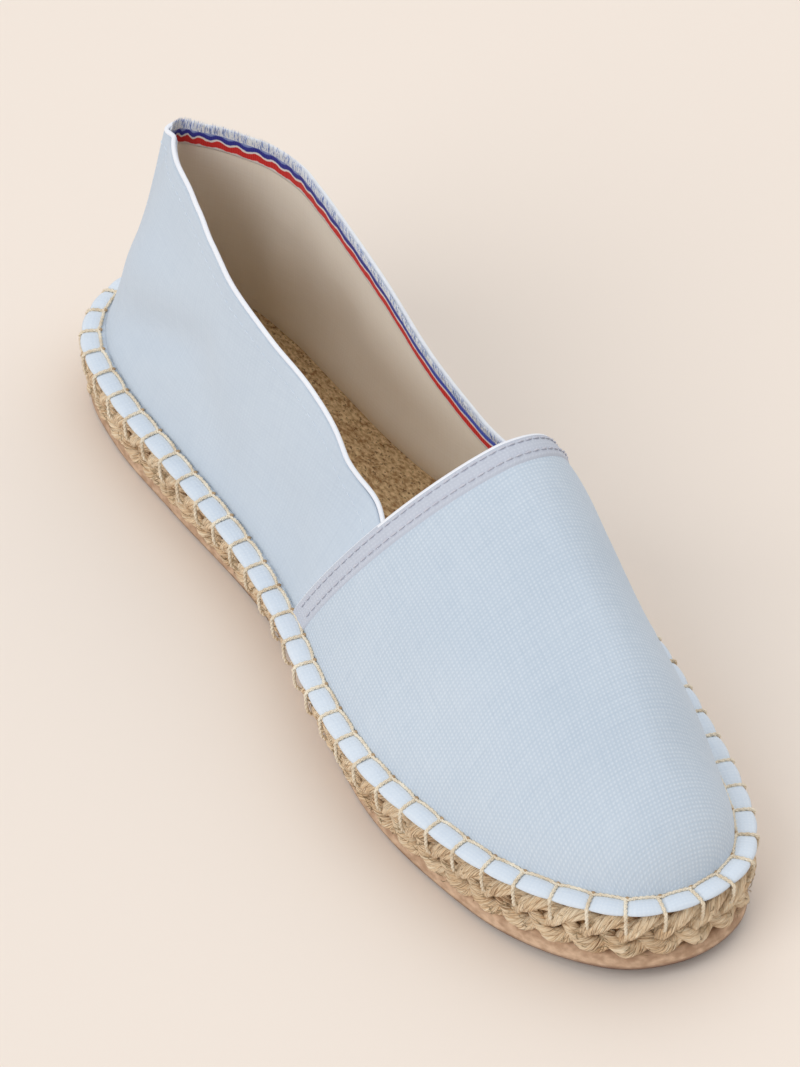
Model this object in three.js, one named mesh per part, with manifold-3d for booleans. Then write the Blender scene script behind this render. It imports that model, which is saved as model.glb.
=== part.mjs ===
// A slip-on espadrille for the left foot: canvas upper, braided rope sole and a thin rubber outsole.
// Millimetres, +Z up, toe towards +X, the outer (lateral) side of the foot towards +Y and the inner (medial)
// side towards -Y. The origin is on the floor, under the middle of the shoe.
import * as THREE from "three";
import { mergeVertices } from "three/addons/utils/BufferGeometryUtils.js";
import Module from "manifold-3d";

const wasm = await Module();
wasm.setup();

// Sole sizes
const soleLength = 262;
const ballWidth = 86.8;
const rubberThickness = 3.8;
const ropeThickness = 13.3;
const soleTaper = 2.2; // how much narrower each side is at the floor than at the top of the rope
const toeTaper = 0.6; // the same at the toe
const waistPinch = 4.2; // further narrowing at the floor on the medial side, from the waist to the ball
const toeSpring = 3.9;
const archLift = 1.4;
const rubberLip = 0.5; // the rubber stands out past the rope by this much
const edgeRound = 0.8; // rounding of the lower edge of the rubber
const footSink = 1; // the upper's walls reach this far down into its margin

// Braid sizes
const braidPitch = 8.8;
const braidSwell = 0.75; // how far each lobe of the braid stands out
const braidGroove = 1.5; // depth of the groove between the two rows of the braid

// Upper sizes
const canvasThickness = 1.5;
const weltWidth = 4.8; // turned-out canvas margin that the sole stitches hold
const weltThickness = 1.2;
const vampLength = 106; // toe crease to the middle of the throat
const instepRise = 49; // throat above the margin
const ridgeShift = 14; // how far the ridge of the vamp lies towards the lateral side
const hemSweep = 20; // the hem meets the sole this far behind the throat
const hemWidth = 7;
const hemThickness = 0.8;
const heelRise = 61; // highest point of the collar above the margin
const hemCurve = 1; // how fast the hem comes forward as it rises
const leanCurve = 1; // above 1 the quarter leans mostly near its top
const quarterStep = 0.5; // the quarter's canvas lies this much inside the vamp's
const quarterTuck = 4; // the quarter ends this far in front of the throat, under the vamp
const quarterEase = 22; // length behind the hem over which the quarter takes on the vamp's form
const tapeWidth = 6.5;
const tapeThickness = 0.7;
const tapeClearance = 0.45; // to the leaning wall that it lines
const tapeStop = 12; // the tape ends this far behind the throat
const insoleThickness = 2.2;
const insoleBevel = 0.7;
const insoleClearance = 0.9; // to the wall round it, whose facets cut across its curves
const gap = 0.3; // clearance between pieces that touch

// Fineness of the faceted surfaces
const facetsPerLobe = 3;
const loopFacets = 96;
const vampRows = 16;
const vampColumns = 22;
const quarterRows = 48;
const quarterColumns = 5;

// Plan of the sole: along is a share of soleLength from the heel, lateral and medial are shares of ballWidth.
const plan = [
  { along: 0.0, lateral: 0.0, medial: 0.0 },
  { along: 0.02, lateral: 0.118, medial: 0.155 },
  { along: 0.07, lateral: 0.24, medial: 0.282 },
  { along: 0.15, lateral: 0.316, medial: 0.334 },
  { along: 0.26, lateral: 0.344, medial: 0.342 },
  { along: 0.4, lateral: 0.371, medial: 0.352 },
  { along: 0.5, lateral: 0.43, medial: 0.395 },
  { along: 0.6, lateral: 0.486, medial: 0.465 },
  { along: 0.7, lateral: 0.462, medial: 0.496 },
  { along: 0.8, lateral: 0.406, medial: 0.464 },
  { along: 0.88, lateral: 0.347, medial: 0.404 },
  { along: 0.945, lateral: 0.268, medial: 0.296 },
  { along: 0.985, lateral: 0.162, medial: 0.178 },
  { along: 1.0, lateral: -0.008, medial: 0.008 },
];

// Side of the rope: level is a share of ropeThickness, groove a share of braidGroove and swell a share of
// braidSwell; shift moves the lobes along by a share of braidPitch.
const ropeSide = [
  { level: 0.0, groove: 0.9, swell: 0.0, shift: 0.0 },
  { level: 0.12, groove: 0.2, swell: 0.7, shift: 0.05 },
  { level: 0.34, groove: 0.1, swell: 1.0, shift: 0.2 },
  { level: 0.5, groove: 1.0, swell: 0.0, shift: 0.35 },
  { level: 0.66, groove: 0.1, swell: 1.0, shift: 0.2 },
  { level: 0.88, groove: 0.2, swell: 0.7, shift: 0.05 },
  { level: 1.0, groove: 0.9, swell: 0.0, shift: 0.0 },
];

// Turned-out margin: inset is a share of weltWidth from the edge of the sole, rise a share of weltThickness.
const welt = [
  { inset: 0.12, rise: 0.0 },
  { inset: 0.0, rise: 0.55 },
  { inset: 0.15, rise: 0.95 },
  { inset: 0.5, rise: 1.1 },
  { inset: 1.0, rise: 1.15 },
];

// Vamp: behind is a share of vampLength from the toe crease, rise a share of instepRise and ridge a share of
// ridgeShift; lateralFull and medialFull say how full each side of the arch is, 1 flat, 2 round, 3 boxy.
const vamp = [
  { behind: 0.0, rise: 0.0, ridge: 0.0, lateralFull: 2.2, medialFull: 2.2 },
  { behind: 0.03, rise: 0.19, ridge: 0.05, lateralFull: 2.2, medialFull: 2.2 },
  { behind: 0.1, rise: 0.34, ridge: 0.15, lateralFull: 2.0, medialFull: 2.1 },
  { behind: 0.22, rise: 0.48, ridge: 0.35, lateralFull: 1.68, medialFull: 1.95 },
  { behind: 0.4, rise: 0.64, ridge: 0.6, lateralFull: 1.88, medialFull: 1.8 },
  { behind: 0.6, rise: 0.78, ridge: 0.8, lateralFull: 1.8, medialFull: 1.6 },
  { behind: 0.8, rise: 0.9, ridge: 0.95, lateralFull: 2.04, medialFull: 1.45 },
  { behind: 1.0, rise: 1.0, ridge: 1.0, lateralFull: 2.6, medialFull: 1.36 },
  { behind: 1.3, rise: 1.05, ridge: 1.0, lateralFull: 2.8, medialFull: 1.36 },
];

// Quarter: along is a share of soleLength from the back of the heel. The other columns are shares of
// heelRise: the height of the collar on each side, and how far it leans forward and in over its foot.
const quarter = [
  { along: 0.0, lateralRise: 0.995, medialRise: 0.995, forward: 0.26, lateralIn: -0.02, medialIn: 0.02 },
  { along: 0.03, lateralRise: 1.0, medialRise: 0.99, forward: 0.215, lateralIn: 0.065, medialIn: 0.193 },
  { along: 0.07, lateralRise: 1.0, medialRise: 0.99, forward: 0.18, lateralIn: 0.075, medialIn: 0.236 },
  { along: 0.11, lateralRise: 1.0, medialRise: 0.98, forward: 0.14, lateralIn: 0.06, medialIn: 0.245 },
  { along: 0.16, lateralRise: 1.0, medialRise: 0.96, forward: 0.09, lateralIn: 0.065, medialIn: 0.23 },
  { along: 0.21, lateralRise: 0.987, medialRise: 0.92, forward: 0.033, lateralIn: 0.08, medialIn: 0.2 },
  { along: 0.27, lateralRise: 0.93, medialRise: 0.85, forward: 0.0, lateralIn: 0.09, medialIn: 0.18 },
  { along: 0.33, lateralRise: 0.85, medialRise: 0.785, forward: 0.0, lateralIn: 0.095, medialIn: 0.192 },
  { along: 0.39, lateralRise: 0.69, medialRise: 0.72, forward: 0.0, lateralIn: 0.085, medialIn: 0.23 },
  { along: 0.44, lateralRise: 0.54, medialRise: 0.64, forward: 0.0, lateralIn: 0.06, medialIn: 0.254 },
  { along: 0.48, lateralRise: 0.45, medialRise: 0.565, forward: 0.0, lateralIn: 0.05, medialIn: 0.252 },
  { along: 0.53, lateralRise: 0.41, medialRise: 0.49, forward: 0.0, lateralIn: 0.045, medialIn: 0.31 },
];

// Heights that follow from the sizes
const ropeSeat = rubberThickness + gap;
const ropeTop = ropeSeat + ropeThickness;
const upperSeat = ropeTop + gap;
const crease = upperSeat + weltThickness;
const sideDepth = quarterStep + canvasThickness; // quarter's inner face, measured from the vamp's outer face

const clamp01 = (value) => Math.min(1, Math.max(0, value));
const mix = (a, b, share) => a + (b - a) * share;
const smooth = (from, to, value) => {
  const t = clamp01((value - from) / (to - from));
  return t * t * (3 - 2 * t);
};

// Smooth curve through a table's column that doesn't overshoot its rows; warp straightens a steep start.
function column(table, key, name, warp = (value) => value) {
  const at = table.map((row) => warp(row[key]));
  const to = table.map((row) => row[name]);
  const slope = at.slice(1).map((value, i) => (to[i + 1] - to[i]) / (value - at[i]));
  const tangent = at.map((_, i) => {
    if (i === 0) return slope[0];
    if (i === slope.length) return slope[i - 1];
    const [before, after] = [slope[i - 1], slope[i]];
    return before * after <= 0 ? 0 : (2 * before * after) / (before + after);
  });
  return (where) => {
    const x = Math.min(at.at(-1), Math.max(at[0], warp(where)));
    const i = Math.min(slope.length - 1, Math.max(0, at.findIndex((value) => value > x) - 1));
    const k = x >= at.at(-1) ? slope.length - 1 : i;
    const span = at[k + 1] - at[k];
    const t = (x - at[k]) / span;
    const [t2, t3] = [t * t, t * t * t];
    return (
      (2 * t3 - 3 * t2 + 1) * to[k] +
      (t3 - 2 * t2 + t) * span * tangent[k] +
      (3 * t2 - 2 * t3) * to[k + 1] +
      (t3 - t2) * span * tangent[k + 1]
    );
  };
}

const shareOf = (x) => x / soleLength + 0.5;
const springAt = (x) => toeSpring * Math.pow(clamp01((shareOf(x) - 0.7) / 0.3), 2);
const waistAt = (x) => Math.exp(-Math.pow((shareOf(x) - 0.52) / 0.2, 2));
const taperAt = (x) => mix(soleTaper, toeTaper, smooth(0.8, 1, shareOf(x)));
const archAt = (x) => archLift * smooth(0.3, 0.42, shareOf(x)) * (1 - smooth(0.44, 0.56, shareOf(x)));

// Closed plan curve, from the toe along the lateral side to the heel and back along the medial side.
function planPoint(row, side) {
  const width = ballWidth * row[side > 0 ? "lateral" : "medial"];
  return new THREE.Vector3((row.along - 0.5) * soleLength, side * width, 0);
}
const planCurve = new THREE.CatmullRomCurve3(
  [
    ...plan.slice(1).reverse().map((row) => planPoint(row, 1)),
    planPoint(plan[0], 1),
    ...plan.slice(1, -1).map((row) => planPoint(row, -1)),
  ],
  true,
  "centripetal",
);
planCurve.arcLengthDivisions = 2000;

// Evenly spaced points of the plan curve, each with its inward normal.
function planLoop(count) {
  const points = planCurve.getSpacedPoints(count).slice(0, count);
  return points.map((point, i) => {
    const ahead = points[(i + 1) % count];
    const back = points[(i + count - 1) % count];
    const run = new THREE.Vector2(ahead.x - back.x, ahead.y - back.y).normalize();
    return { x: point.x, y: point.y, nx: -run.y, ny: run.x };
  });
}

// The plan loop moved inwards by an amount that may differ from point to point.
function insetLoop(loop, inset) {
  return loop.map((point, i) => {
    const by = typeof inset === "function" ? inset(point, i) : inset;
    return { ...point, x: point.x + point.nx * by, y: point.y + point.ny * by };
  });
}

// A plan point at a height, raised with the spring of the toe.
const lifted = (point, height) => new THREE.Vector3(point.x, point.y, height + springAt(point.x));

// Half of an inset loop as a curve of y over x, for one side of the shoe.
function sideCurve(inset, side) {
  const loop = insetLoop(planLoop(720), inset);
  const heel = loop.reduce((best, point, i) => (point.x < loop[best].x ? i : best), 0);
  const toe = loop.reduce((best, point, i) => (point.x > loop[best].x ? i : best), 0);
  const turn = loop.slice(toe).concat(loop.slice(0, toe));
  const back = (heel - toe + loop.length) % loop.length;
  const half = side > 0 ? turn.slice(0, back + 1).reverse() : turn.slice(back).concat(turn[0]);
  const run = half.filter((point, i) => i === 0 || point.x > half[i - 1].x);
  const y = (x) => {
    if (x <= run[0].x) return run[0].y;
    if (x >= run.at(-1).x) return run.at(-1).y;
    let [low, high] = [0, run.length - 1];
    while (high - low > 1) {
      const middle = (low + high) >> 1;
      if (run[middle].x > x) high = middle;
      else low = middle;
    }
    return mix(run[low].y, run[high].y, (x - run[low].x) / (run[high].x - run[low].x));
  };
  return { y, toe: run.at(-1).x, heel: run[0].x };
}

// Crease lines at a depth below the vamp's outer face, kept for reuse.
const creases = new Map();
function creaseAt(depth) {
  if (!creases.has(depth)) {
    const inset = weltWidth + depth;
    creases.set(depth, { lateral: sideCurve(inset, 1), medial: sideCurve(inset, -1) });
  }
  return creases.get(depth);
}

const rootWarp = (value) => Math.sqrt(Math.max(0, value));
const vampRise = column(vamp, "behind", "rise", rootWarp);
const vampRidge = column(vamp, "behind", "ridge");
const lateralFull = column(vamp, "behind", "lateralFull");
const medialFull = column(vamp, "behind", "medialFull");
const throatX = creaseAt(0).medial.toe - vampLength;
const hemBaseX = throatX - hemSweep;

// The arch of the vamp at x: ridge place, height and the reach and fullness of each side.
function archSection(x, depth) {
  const line = creaseAt(depth);
  const behind = (line.medial.toe - x) / vampLength;
  const ridge = mix((line.medial.y(x) + line.lateral.y(x)) / 2, ridgeShift, vampRidge(behind));
  return {
    ridge,
    rise: vampRise(behind) * (instepRise - depth),
    base: crease - footSink + springAt(x),
    medial: { reach: line.medial.y(x) - ridge, full: medialFull(behind) },
    lateral: { reach: line.lateral.y(x) - ridge, full: lateralFull(behind) },
  };
}

// Point of the vamp: turn runs from 0 at the lateral crease over the ridge to 1 at the medial crease.
function vampPoint(x, turn, depth) {
  const section = archSection(x, depth);
  const angle = turn * Math.PI;
  const side = angle < Math.PI / 2 ? section.lateral : section.medial;
  const across = Math.pow(Math.abs(Math.cos(angle)), 2 / side.full);
  const up = Math.pow(Math.max(0, Math.sin(angle)), 2 / side.full);
  return new THREE.Vector3(x, section.ridge + side.reach * across, section.base + section.rise * up);
}

// Place of the hem's rear edge, which sweeps back as it comes down to the sole; up runs from 0 to 1.
const hemAt = (up) => mix(hemBaseX, throatX, Math.pow(clamp01(up), hemCurve));

// The same for a turn over the vamp.
function hemX(turn) {
  const full = turn < 0.5 ? lateralFull(1) : medialFull(1);
  return hemAt(Math.pow(Math.max(0, Math.sin(turn * Math.PI)), 2 / full));
}

// How far the vamp's side has come in from the crease at a height above it.
function vampInset(x, height, side) {
  const section = archSection(x, quarterStep);
  const { reach, full } = side > 0 ? section.lateral : section.medial;
  const up = clamp01(height / section.rise);
  return Math.abs(reach) * (1 - Math.pow(1 - Math.pow(up, full), 1 / full));
}

const quarterColumn = (name) => column(quarter, "along", name);
const collarForward = quarterColumn("forward");
const collarRise = { lateral: quarterColumn("lateralRise"), medial: quarterColumn("medialRise") };
const collarIn = { lateral: quarterColumn("lateralIn"), medial: quarterColumn("medialIn") };
const heelX = creaseAt(0).medial.heel;
const collarShare = (foot) => (foot.creaseX - heelX) / soleLength;

// Height of the collar over a foot point.
const collarHeight = (foot) => collarRise[foot.side](collarShare(foot)) * heelRise;

// Point of the quarter over a foot point, at a height above the crease.
function quarterPoint(foot, height) {
  const share = collarShare(foot);
  const lean = heelRise * Math.pow(clamp01(height / collarHeight(foot)), leanCurve);
  const inwards = foot.side === "lateral" ? -1 : 1;
  const hem = hemAt(height / instepRise);
  const held = smooth(hem - quarterEase, hem, foot.creaseX);
  const free = lean * collarIn[foot.side](share);
  const inset = mix(free, vampInset(foot.x, height, -inwards), held);
  return new THREE.Vector3(
    foot.x + lean * collarForward(share),
    foot.y + inwards * inset,
    crease - footSink + springAt(foot.x) + height,
  );
}

// The part of the crease loop that the quarter stands on, from its lateral end round the heel.
function quarterFeet(depth) {
  const outer = insetLoop(planLoop(720), weltWidth);
  const frontX = throatX + quarterTuck;
  const first = outer.findIndex((point) => point.x < frontX);
  const last = outer.findLastIndex((point) => point.x < frontX);
  const heel = outer.reduce((best, point, i) => (point.x < outer[best].x ? i : best), 0);
  return Array.from({ length: quarterRows + 1 }, (_, i) => {
    const k = Math.round(mix(first, last, i / quarterRows));
    const side = k < heel ? "lateral" : "medial";
    return { ...insetLoop([outer[k]], depth)[0], creaseX: outer[k].x, side };
  });
}

// Closed solid from faces that list vertices; touching corners are merged and empty faces dropped.
function solidOf(points, faces) {
  const geometry = new THREE.BufferGeometry().setFromPoints(faces.flat().map((i) => points[i]));
  const merged = mergeVertices(geometry, 1e-4);
  const index = Array.from(merged.index.array);
  const kept = [];
  for (let i = 0; i < index.length; i += 3) {
    const [a, b, c] = index.slice(i, i + 3);
    if (a !== b && b !== c && c !== a) kept.push(a, b, c);
  }
  return new wasm.Manifold(
    new wasm.Mesh({
      numProp: 3,
      vertProperties: merged.attributes.position.array,
      triVerts: new Uint32Array(kept),
    }),
  );
}

const quad = (a, b, c, d) => [
  [a, b, c],
  [a, c, d],
];

// Solid from closed rings stacked from the lowest to the highest, capped across the shoe at both ends.
function stackSolid(rings) {
  const count = rings[0].length;
  const points = rings.flat();
  const faces = [];
  for (let level = 0; level + 1 < rings.length; level++)
    for (let i = 0; i < count; i++) {
      const [a, b] = [level * count + i, level * count + ((i + 1) % count)];
      faces.push(...quad(a, b, b + count, a + count));
    }
  const top = (rings.length - 1) * count;
  for (let i = 0; i < count / 2; i++) {
    const across = [i, i + 1, count - i - 1, (count - i) % count];
    faces.push(...quad(...across.map((k) => top + k)));
    faces.push(...quad(...across.reverse()));
  }
  return solidOf(points, faces);
}

// Solid between two grids of the same size; the outer grid faces out when its rows and columns turn left.
function shellSolid(outer, inner) {
  const [rows, columns] = [outer.length, outer[0].length];
  const points = [...outer.flat(), ...inner.flat()];
  const at = (r, c) => r * columns + c;
  const under = rows * columns;
  const faces = [];
  for (let r = 0; r + 1 < rows; r++)
    for (let c = 0; c + 1 < columns; c++) {
      const corners = [at(r, c), at(r + 1, c), at(r + 1, c + 1), at(r, c + 1)];
      faces.push(...quad(...corners), ...quad(...corners.map((k) => k + under).reverse()));
    }
  const edge = (a, b) => faces.push(...quad(b, a, a + under, b + under));
  for (let r = 0; r + 1 < rows; r++) {
    edge(at(r, 0), at(r + 1, 0));
    edge(at(r + 1, columns - 1), at(r, columns - 1));
  }
  for (let c = 0; c + 1 < columns; c++) {
    edge(at(rows - 1, c), at(rows - 1, c + 1));
    edge(at(0, c + 1), at(0, c));
  }
  return solidOf(points, faces);
}

// How far in from the plan curve the sole's side lies at a height above the floor.
const sideInset = (point, height) =>
  (1 - height / ropeTop) * (taperAt(point.x) + (point.y < 0 ? waistPinch * waistAt(point.x) : 0));

function rubberOutsole() {
  const loop = planLoop(loopFacets);
  const ring = (height, inset, lift) =>
    insetLoop(loop, (point) => sideInset(point, height) + inset).map((point) =>
      lifted(point, height + lift(point.x)),
    );
  const level = () => 0;
  const upper = rubberThickness - edgeRound / 2;
  return stackSolid([
    ring(0, edgeRound, archAt),
    ring(edgeRound, 0, level),
    ring(upper, -rubberLip / 2, level),
    ring(rubberThickness, rubberLip, level),
  ]);
}

function ropeSole() {
  const lobes = Math.round(planCurve.getLength() / braidPitch);
  const count = 2 * Math.round((lobes * facetsPerLobe) / 2);
  const loop = planLoop(count);
  const rings = ropeSide.map((row) => {
    const height = ropeSeat + row.level * ropeThickness;
    const inset = (point, i) => {
      const turn = (i / count) * lobes + row.shift;
      const lobe = Math.abs(Math.sin(Math.PI * turn)) - 1;
      return sideInset(point, height) + row.groove * braidGroove - row.swell * braidSwell * lobe;
    };
    return insetLoop(loop, inset).map((point) => lifted(point, height));
  });
  return stackSolid(rings);
}

function insole() {
  const loop = planLoop(loopFacets);
  const edge = weltWidth + sideDepth + insoleClearance;
  const ring = (height, inset) =>
    insetLoop(loop, edge + inset).map((point) => lifted(point, upperSeat + height));
  return stackSolid([ring(0, 0), ring(insoleThickness - insoleBevel, 0), ring(insoleThickness, insoleBevel)]);
}

// Turned-out margin of the canvas: a band round the foot of the upper, thicker at its folded edge.
function weltBand() {
  const loop = planLoop(loopFacets);
  const inner = weltWidth + sideDepth;
  const section = [
    [inner, 0],
    ...welt.map((row) => [row.inset * weltWidth, row.rise * weltThickness]),
    [inner, weltThickness],
  ];
  const rings = section.map(([inset, height]) =>
    insetLoop(loop, inset).map((point) => lifted(point, upperSeat + height)),
  );
  const points = rings.flat();
  const faces = [];
  section.forEach((_, s) => {
    const here = s * loopFacets;
    const next = ((s + 1) % section.length) * loopFacets;
    for (let i = 0; i < loopFacets; i++) {
      const j = (i + 1) % loopFacets;
      faces.push(...quad(here + i, here + j, next + j, next + i));
    }
  });
  return solidOf(points, faces);
}

function vampShell() {
  const grid = (depth) =>
    Array.from({ length: vampRows + 1 }, (_, r) =>
      Array.from({ length: vampColumns + 1 }, (_, c) => {
        const turn = c / vampColumns;
        const toe = creaseAt(depth).medial.toe;
        const back = 1 - Math.cos(((r / vampRows) * Math.PI) / 2);
        return vampPoint(mix(toe, hemX(turn), back), turn, depth);
      }),
    );
  return shellSolid(grid(0), grid(canvasThickness));
}

function hemBand() {
  const grid = (depth) =>
    [hemWidth, hemWidth - hemThickness, 0].map((ahead) =>
      Array.from({ length: vampColumns + 1 }, (_, c) => {
        const turn = c / vampColumns;
        const sunk = ahead === hemWidth ? Math.max(depth, gap) : depth;
        return vampPoint(hemX(turn) + ahead, turn, sunk);
      }),
    );
  return shellSolid(grid(-hemThickness), grid(canvasThickness - gap));
}

// Strip of the quarter's wall between two depths, behind stopX: it hangs down by reach from below the collar.
function quarterStrip(depths, stopX, reach, below) {
  const grid = (depth) =>
    quarterFeet(depth)
      .filter((foot) => foot.creaseX < stopX)
      .map((foot) => {
        const top = collarHeight(foot) - below;
        const low = Math.max(0, top - reach);
        return Array.from({ length: quarterColumns + 1 }, (_, c) =>
          quarterPoint(foot, mix(low, top, c / quarterColumns)),
        );
      });
  return shellSolid(grid(depths[0]), grid(depths[1]));
}

const upper = () =>
  vampShell()
    .add(hemBand())
    .add(quarterStrip([quarterStep, sideDepth], Infinity, heelRise, 0))
    .add(weltBand());

function collarTape() {
  const outside = sideDepth + tapeClearance;
  return quarterStrip([outside, outside + tapeThickness], throatX - tapeStop, tapeWidth, gap);
}

const finishes = {
  rubber: { color: 0xc4ae8c, roughness: 0.55, metalness: 0 },
  jute: { color: 0xc49a66, roughness: 0.95, metalness: 0 },
  juteDark: { color: 0xa9814c, roughness: 0.95, metalness: 0 },
  canvas: { color: 0xb9cbdc, roughness: 0.9, metalness: 0 },
  tape: { color: 0x2b3a86, roughness: 0.85, metalness: 0 },
};

function meshOf(name, solid, finish) {
  const mesh = solid.getMesh();
  const positions = new Float32Array(mesh.numVert * 3);
  for (let i = 0; i < mesh.numVert; i++)
    positions.set(mesh.vertProperties.subarray(i * mesh.numProp, i * mesh.numProp + 3), i * 3);
  const geometry = new THREE.BufferGeometry()
    .setAttribute("position", new THREE.BufferAttribute(positions, 3))
    .setIndex(new THREE.BufferAttribute(mesh.triVerts, 1));
  geometry.computeVertexNormals();
  const made = new THREE.Mesh(geometry, new THREE.MeshStandardMaterial(finish));
  made.name = name;
  return made;
}

const espadrille = new THREE.Group();
espadrille.name = "espadrille";
espadrille.add(
  meshOf("rubber_outsole", rubberOutsole(), finishes.rubber),
  meshOf("rope_sole", ropeSole(), finishes.jute),
  meshOf("insole", insole(), finishes.juteDark),
  meshOf("canvas_upper", upper(), finishes.canvas),
  meshOf("collar_tape", collarTape(), finishes.tape),
);

export default espadrille;
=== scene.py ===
"""Looks of a slip-on espadrille for the left foot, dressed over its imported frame.

Sizes are millimetres in the shoe's own frame: +X towards the toe, +Y the outer (lateral) side of the foot,
-Y the inner (medial) side, +Z up, with the origin on the floor under the middle of the shoe.
"""

import logging
import math
import random
from dataclasses import dataclass, field
from enum import Enum
from functools import cache, cached_property

import bmesh
import bpy
import numpy as np
from mathutils import Matrix, Vector


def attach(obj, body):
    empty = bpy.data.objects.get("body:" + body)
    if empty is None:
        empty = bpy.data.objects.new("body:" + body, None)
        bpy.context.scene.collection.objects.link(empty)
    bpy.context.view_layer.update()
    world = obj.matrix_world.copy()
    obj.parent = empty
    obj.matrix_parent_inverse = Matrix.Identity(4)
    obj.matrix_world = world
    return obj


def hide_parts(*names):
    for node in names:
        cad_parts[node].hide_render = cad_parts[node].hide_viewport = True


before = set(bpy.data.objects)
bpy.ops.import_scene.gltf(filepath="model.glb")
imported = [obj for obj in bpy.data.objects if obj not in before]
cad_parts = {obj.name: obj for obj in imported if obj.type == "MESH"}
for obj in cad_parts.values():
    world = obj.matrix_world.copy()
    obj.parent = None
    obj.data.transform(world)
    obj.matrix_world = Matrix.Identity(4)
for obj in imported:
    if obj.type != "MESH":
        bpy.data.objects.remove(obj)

MM = 0.001
LOG = logging.getLogger("espadrille")
Points = np.ndarray
Socket = bpy.types.NodeSocket


class Side(Enum):
    """Which side of the foot a place is on; the value is the sign of its y."""

    LATERAL = 1
    MEDIAL = -1


class Slot(Enum):
    """Material slots of the part's record."""

    RUBBER = "rubber"
    JUTE = "jute"
    FOOTBED = "footbed"
    CANVAS = "canvas"
    TAPE = "tape"


# ---------------------------------------------------------------------------------------------------------
# The last: the curves and surfaces that all pieces of the shoe share


def mix(start: Points | float, end: Points | float, share: Points | float) -> Points | float:
    """Point between start and end at a share of the way."""
    return start + (end - start) * share


def smooth(start: float, end: Points | float, value: Points | float) -> Points | float:
    """Eased step from 0 at start to 1 at end."""
    t = np.clip((value - start) / (end - start), 0.0, 1.0)
    return t * t * (3 - 2 * t)


@dataclass(frozen=True)
class Column:
    """Smooth curve through the rows of a table that doesn't overshoot them."""

    at: tuple[float, ...]
    to: tuple[float, ...]

    @cached_property
    def tangents(self) -> Points:
        """Slope of the curve at each row."""
        slope = np.diff(self.to) / np.diff(self.at)
        before, after = slope[:-1], slope[1:]
        total = np.where(before * after > 0, before + after, 1.0)
        middle = np.where(before * after > 0, 2 * before * after / total, 0.0)
        return np.concatenate([slope[:1], middle, slope[-1:]])

    def __call__(self, where: Points | float) -> Points:
        """Value of the curve.

        Args:
            where: places along the table's first column.

        Returns:
            The curve's value at each place, held level beyond the table's ends.
        """
        at, to, tangent = np.array(self.at), np.array(self.to), self.tangents
        x = np.clip(where, at[0], at[-1])
        k = np.clip(np.searchsorted(at, x, side="right") - 1, 0, len(at) - 2)
        span = at[k + 1] - at[k]
        t = (x - at[k]) / span
        t2, t3 = t * t, t * t * t
        return (
            (2 * t3 - 3 * t2 + 1) * to[k]
            + (t3 - 2 * t2 + t) * span * tangent[k]
            + (3 * t2 - 2 * t3) * to[k + 1]
            + (t3 - t2) * span * tangent[k + 1]
        )


@dataclass(frozen=True)
class PlanRow:
    """Half widths of the sole as shares of the ball width; along is a share of its length from the heel."""

    along: float
    lateral: float
    medial: float


@dataclass(frozen=True)
class VampRow:
    """Arch of the vamp at a share of its length behind the toe: rise, ridge and how full each side is."""

    behind: float
    rise: float
    ridge: float
    lateral_full: float
    medial_full: float


@dataclass(frozen=True)
class QuarterRow:
    """Collar height and lean of the quarter, as shares of the heel's rise."""

    along: float
    lateral_rise: float
    medial_rise: float
    forward: float
    lateral_in: float
    medial_in: float


PLAN = (
    PlanRow(0.0, 0.0, 0.0),
    PlanRow(0.02, 0.118, 0.155),
    PlanRow(0.07, 0.24, 0.282),
    PlanRow(0.15, 0.316, 0.334),
    PlanRow(0.26, 0.344, 0.342),
    PlanRow(0.4, 0.371, 0.352),
    PlanRow(0.5, 0.43, 0.395),
    PlanRow(0.6, 0.486, 0.465),
    PlanRow(0.7, 0.462, 0.496),
    PlanRow(0.8, 0.406, 0.464),
    PlanRow(0.88, 0.347, 0.404),
    PlanRow(0.945, 0.268, 0.296),
    PlanRow(0.985, 0.162, 0.178),
    PlanRow(1.0, -0.008, 0.008),
)
VAMP = (
    VampRow(0.0, 0.0, 0.0, 2.2, 2.2),
    VampRow(0.03, 0.19, 0.05, 2.2, 2.2),
    VampRow(0.1, 0.34, 0.15, 2.0, 2.1),
    VampRow(0.22, 0.48, 0.35, 1.68, 1.95),
    VampRow(0.4, 0.64, 0.6, 1.88, 1.8),
    VampRow(0.6, 0.78, 0.8, 1.8, 1.6),
    VampRow(0.8, 0.9, 0.95, 2.04, 1.45),
    VampRow(1.0, 1.0, 1.0, 2.6, 1.36),
    VampRow(1.3, 1.05, 1.0, 2.8, 1.36),
)
QUARTER = (
    QuarterRow(0.0, 0.995, 0.995, 0.26, -0.02, 0.02),
    QuarterRow(0.03, 1.0, 0.99, 0.215, 0.065, 0.193),
    QuarterRow(0.07, 1.0, 0.99, 0.18, 0.075, 0.236),
    QuarterRow(0.11, 1.0, 0.98, 0.14, 0.06, 0.245),
    QuarterRow(0.16, 1.0, 0.96, 0.09, 0.065, 0.23),
    QuarterRow(0.21, 0.987, 0.92, 0.033, 0.08, 0.2),
    QuarterRow(0.27, 0.93, 0.85, 0.0, 0.09, 0.18),
    QuarterRow(0.33, 0.85, 0.785, 0.0, 0.095, 0.192),
    QuarterRow(0.39, 0.69, 0.72, 0.0, 0.085, 0.23),
    QuarterRow(0.44, 0.54, 0.64, 0.0, 0.06, 0.254),
    QuarterRow(0.48, 0.45, 0.565, 0.0, 0.05, 0.252),
    QuarterRow(0.53, 0.41, 0.49, 0.0, 0.045, 0.31),
)


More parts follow.
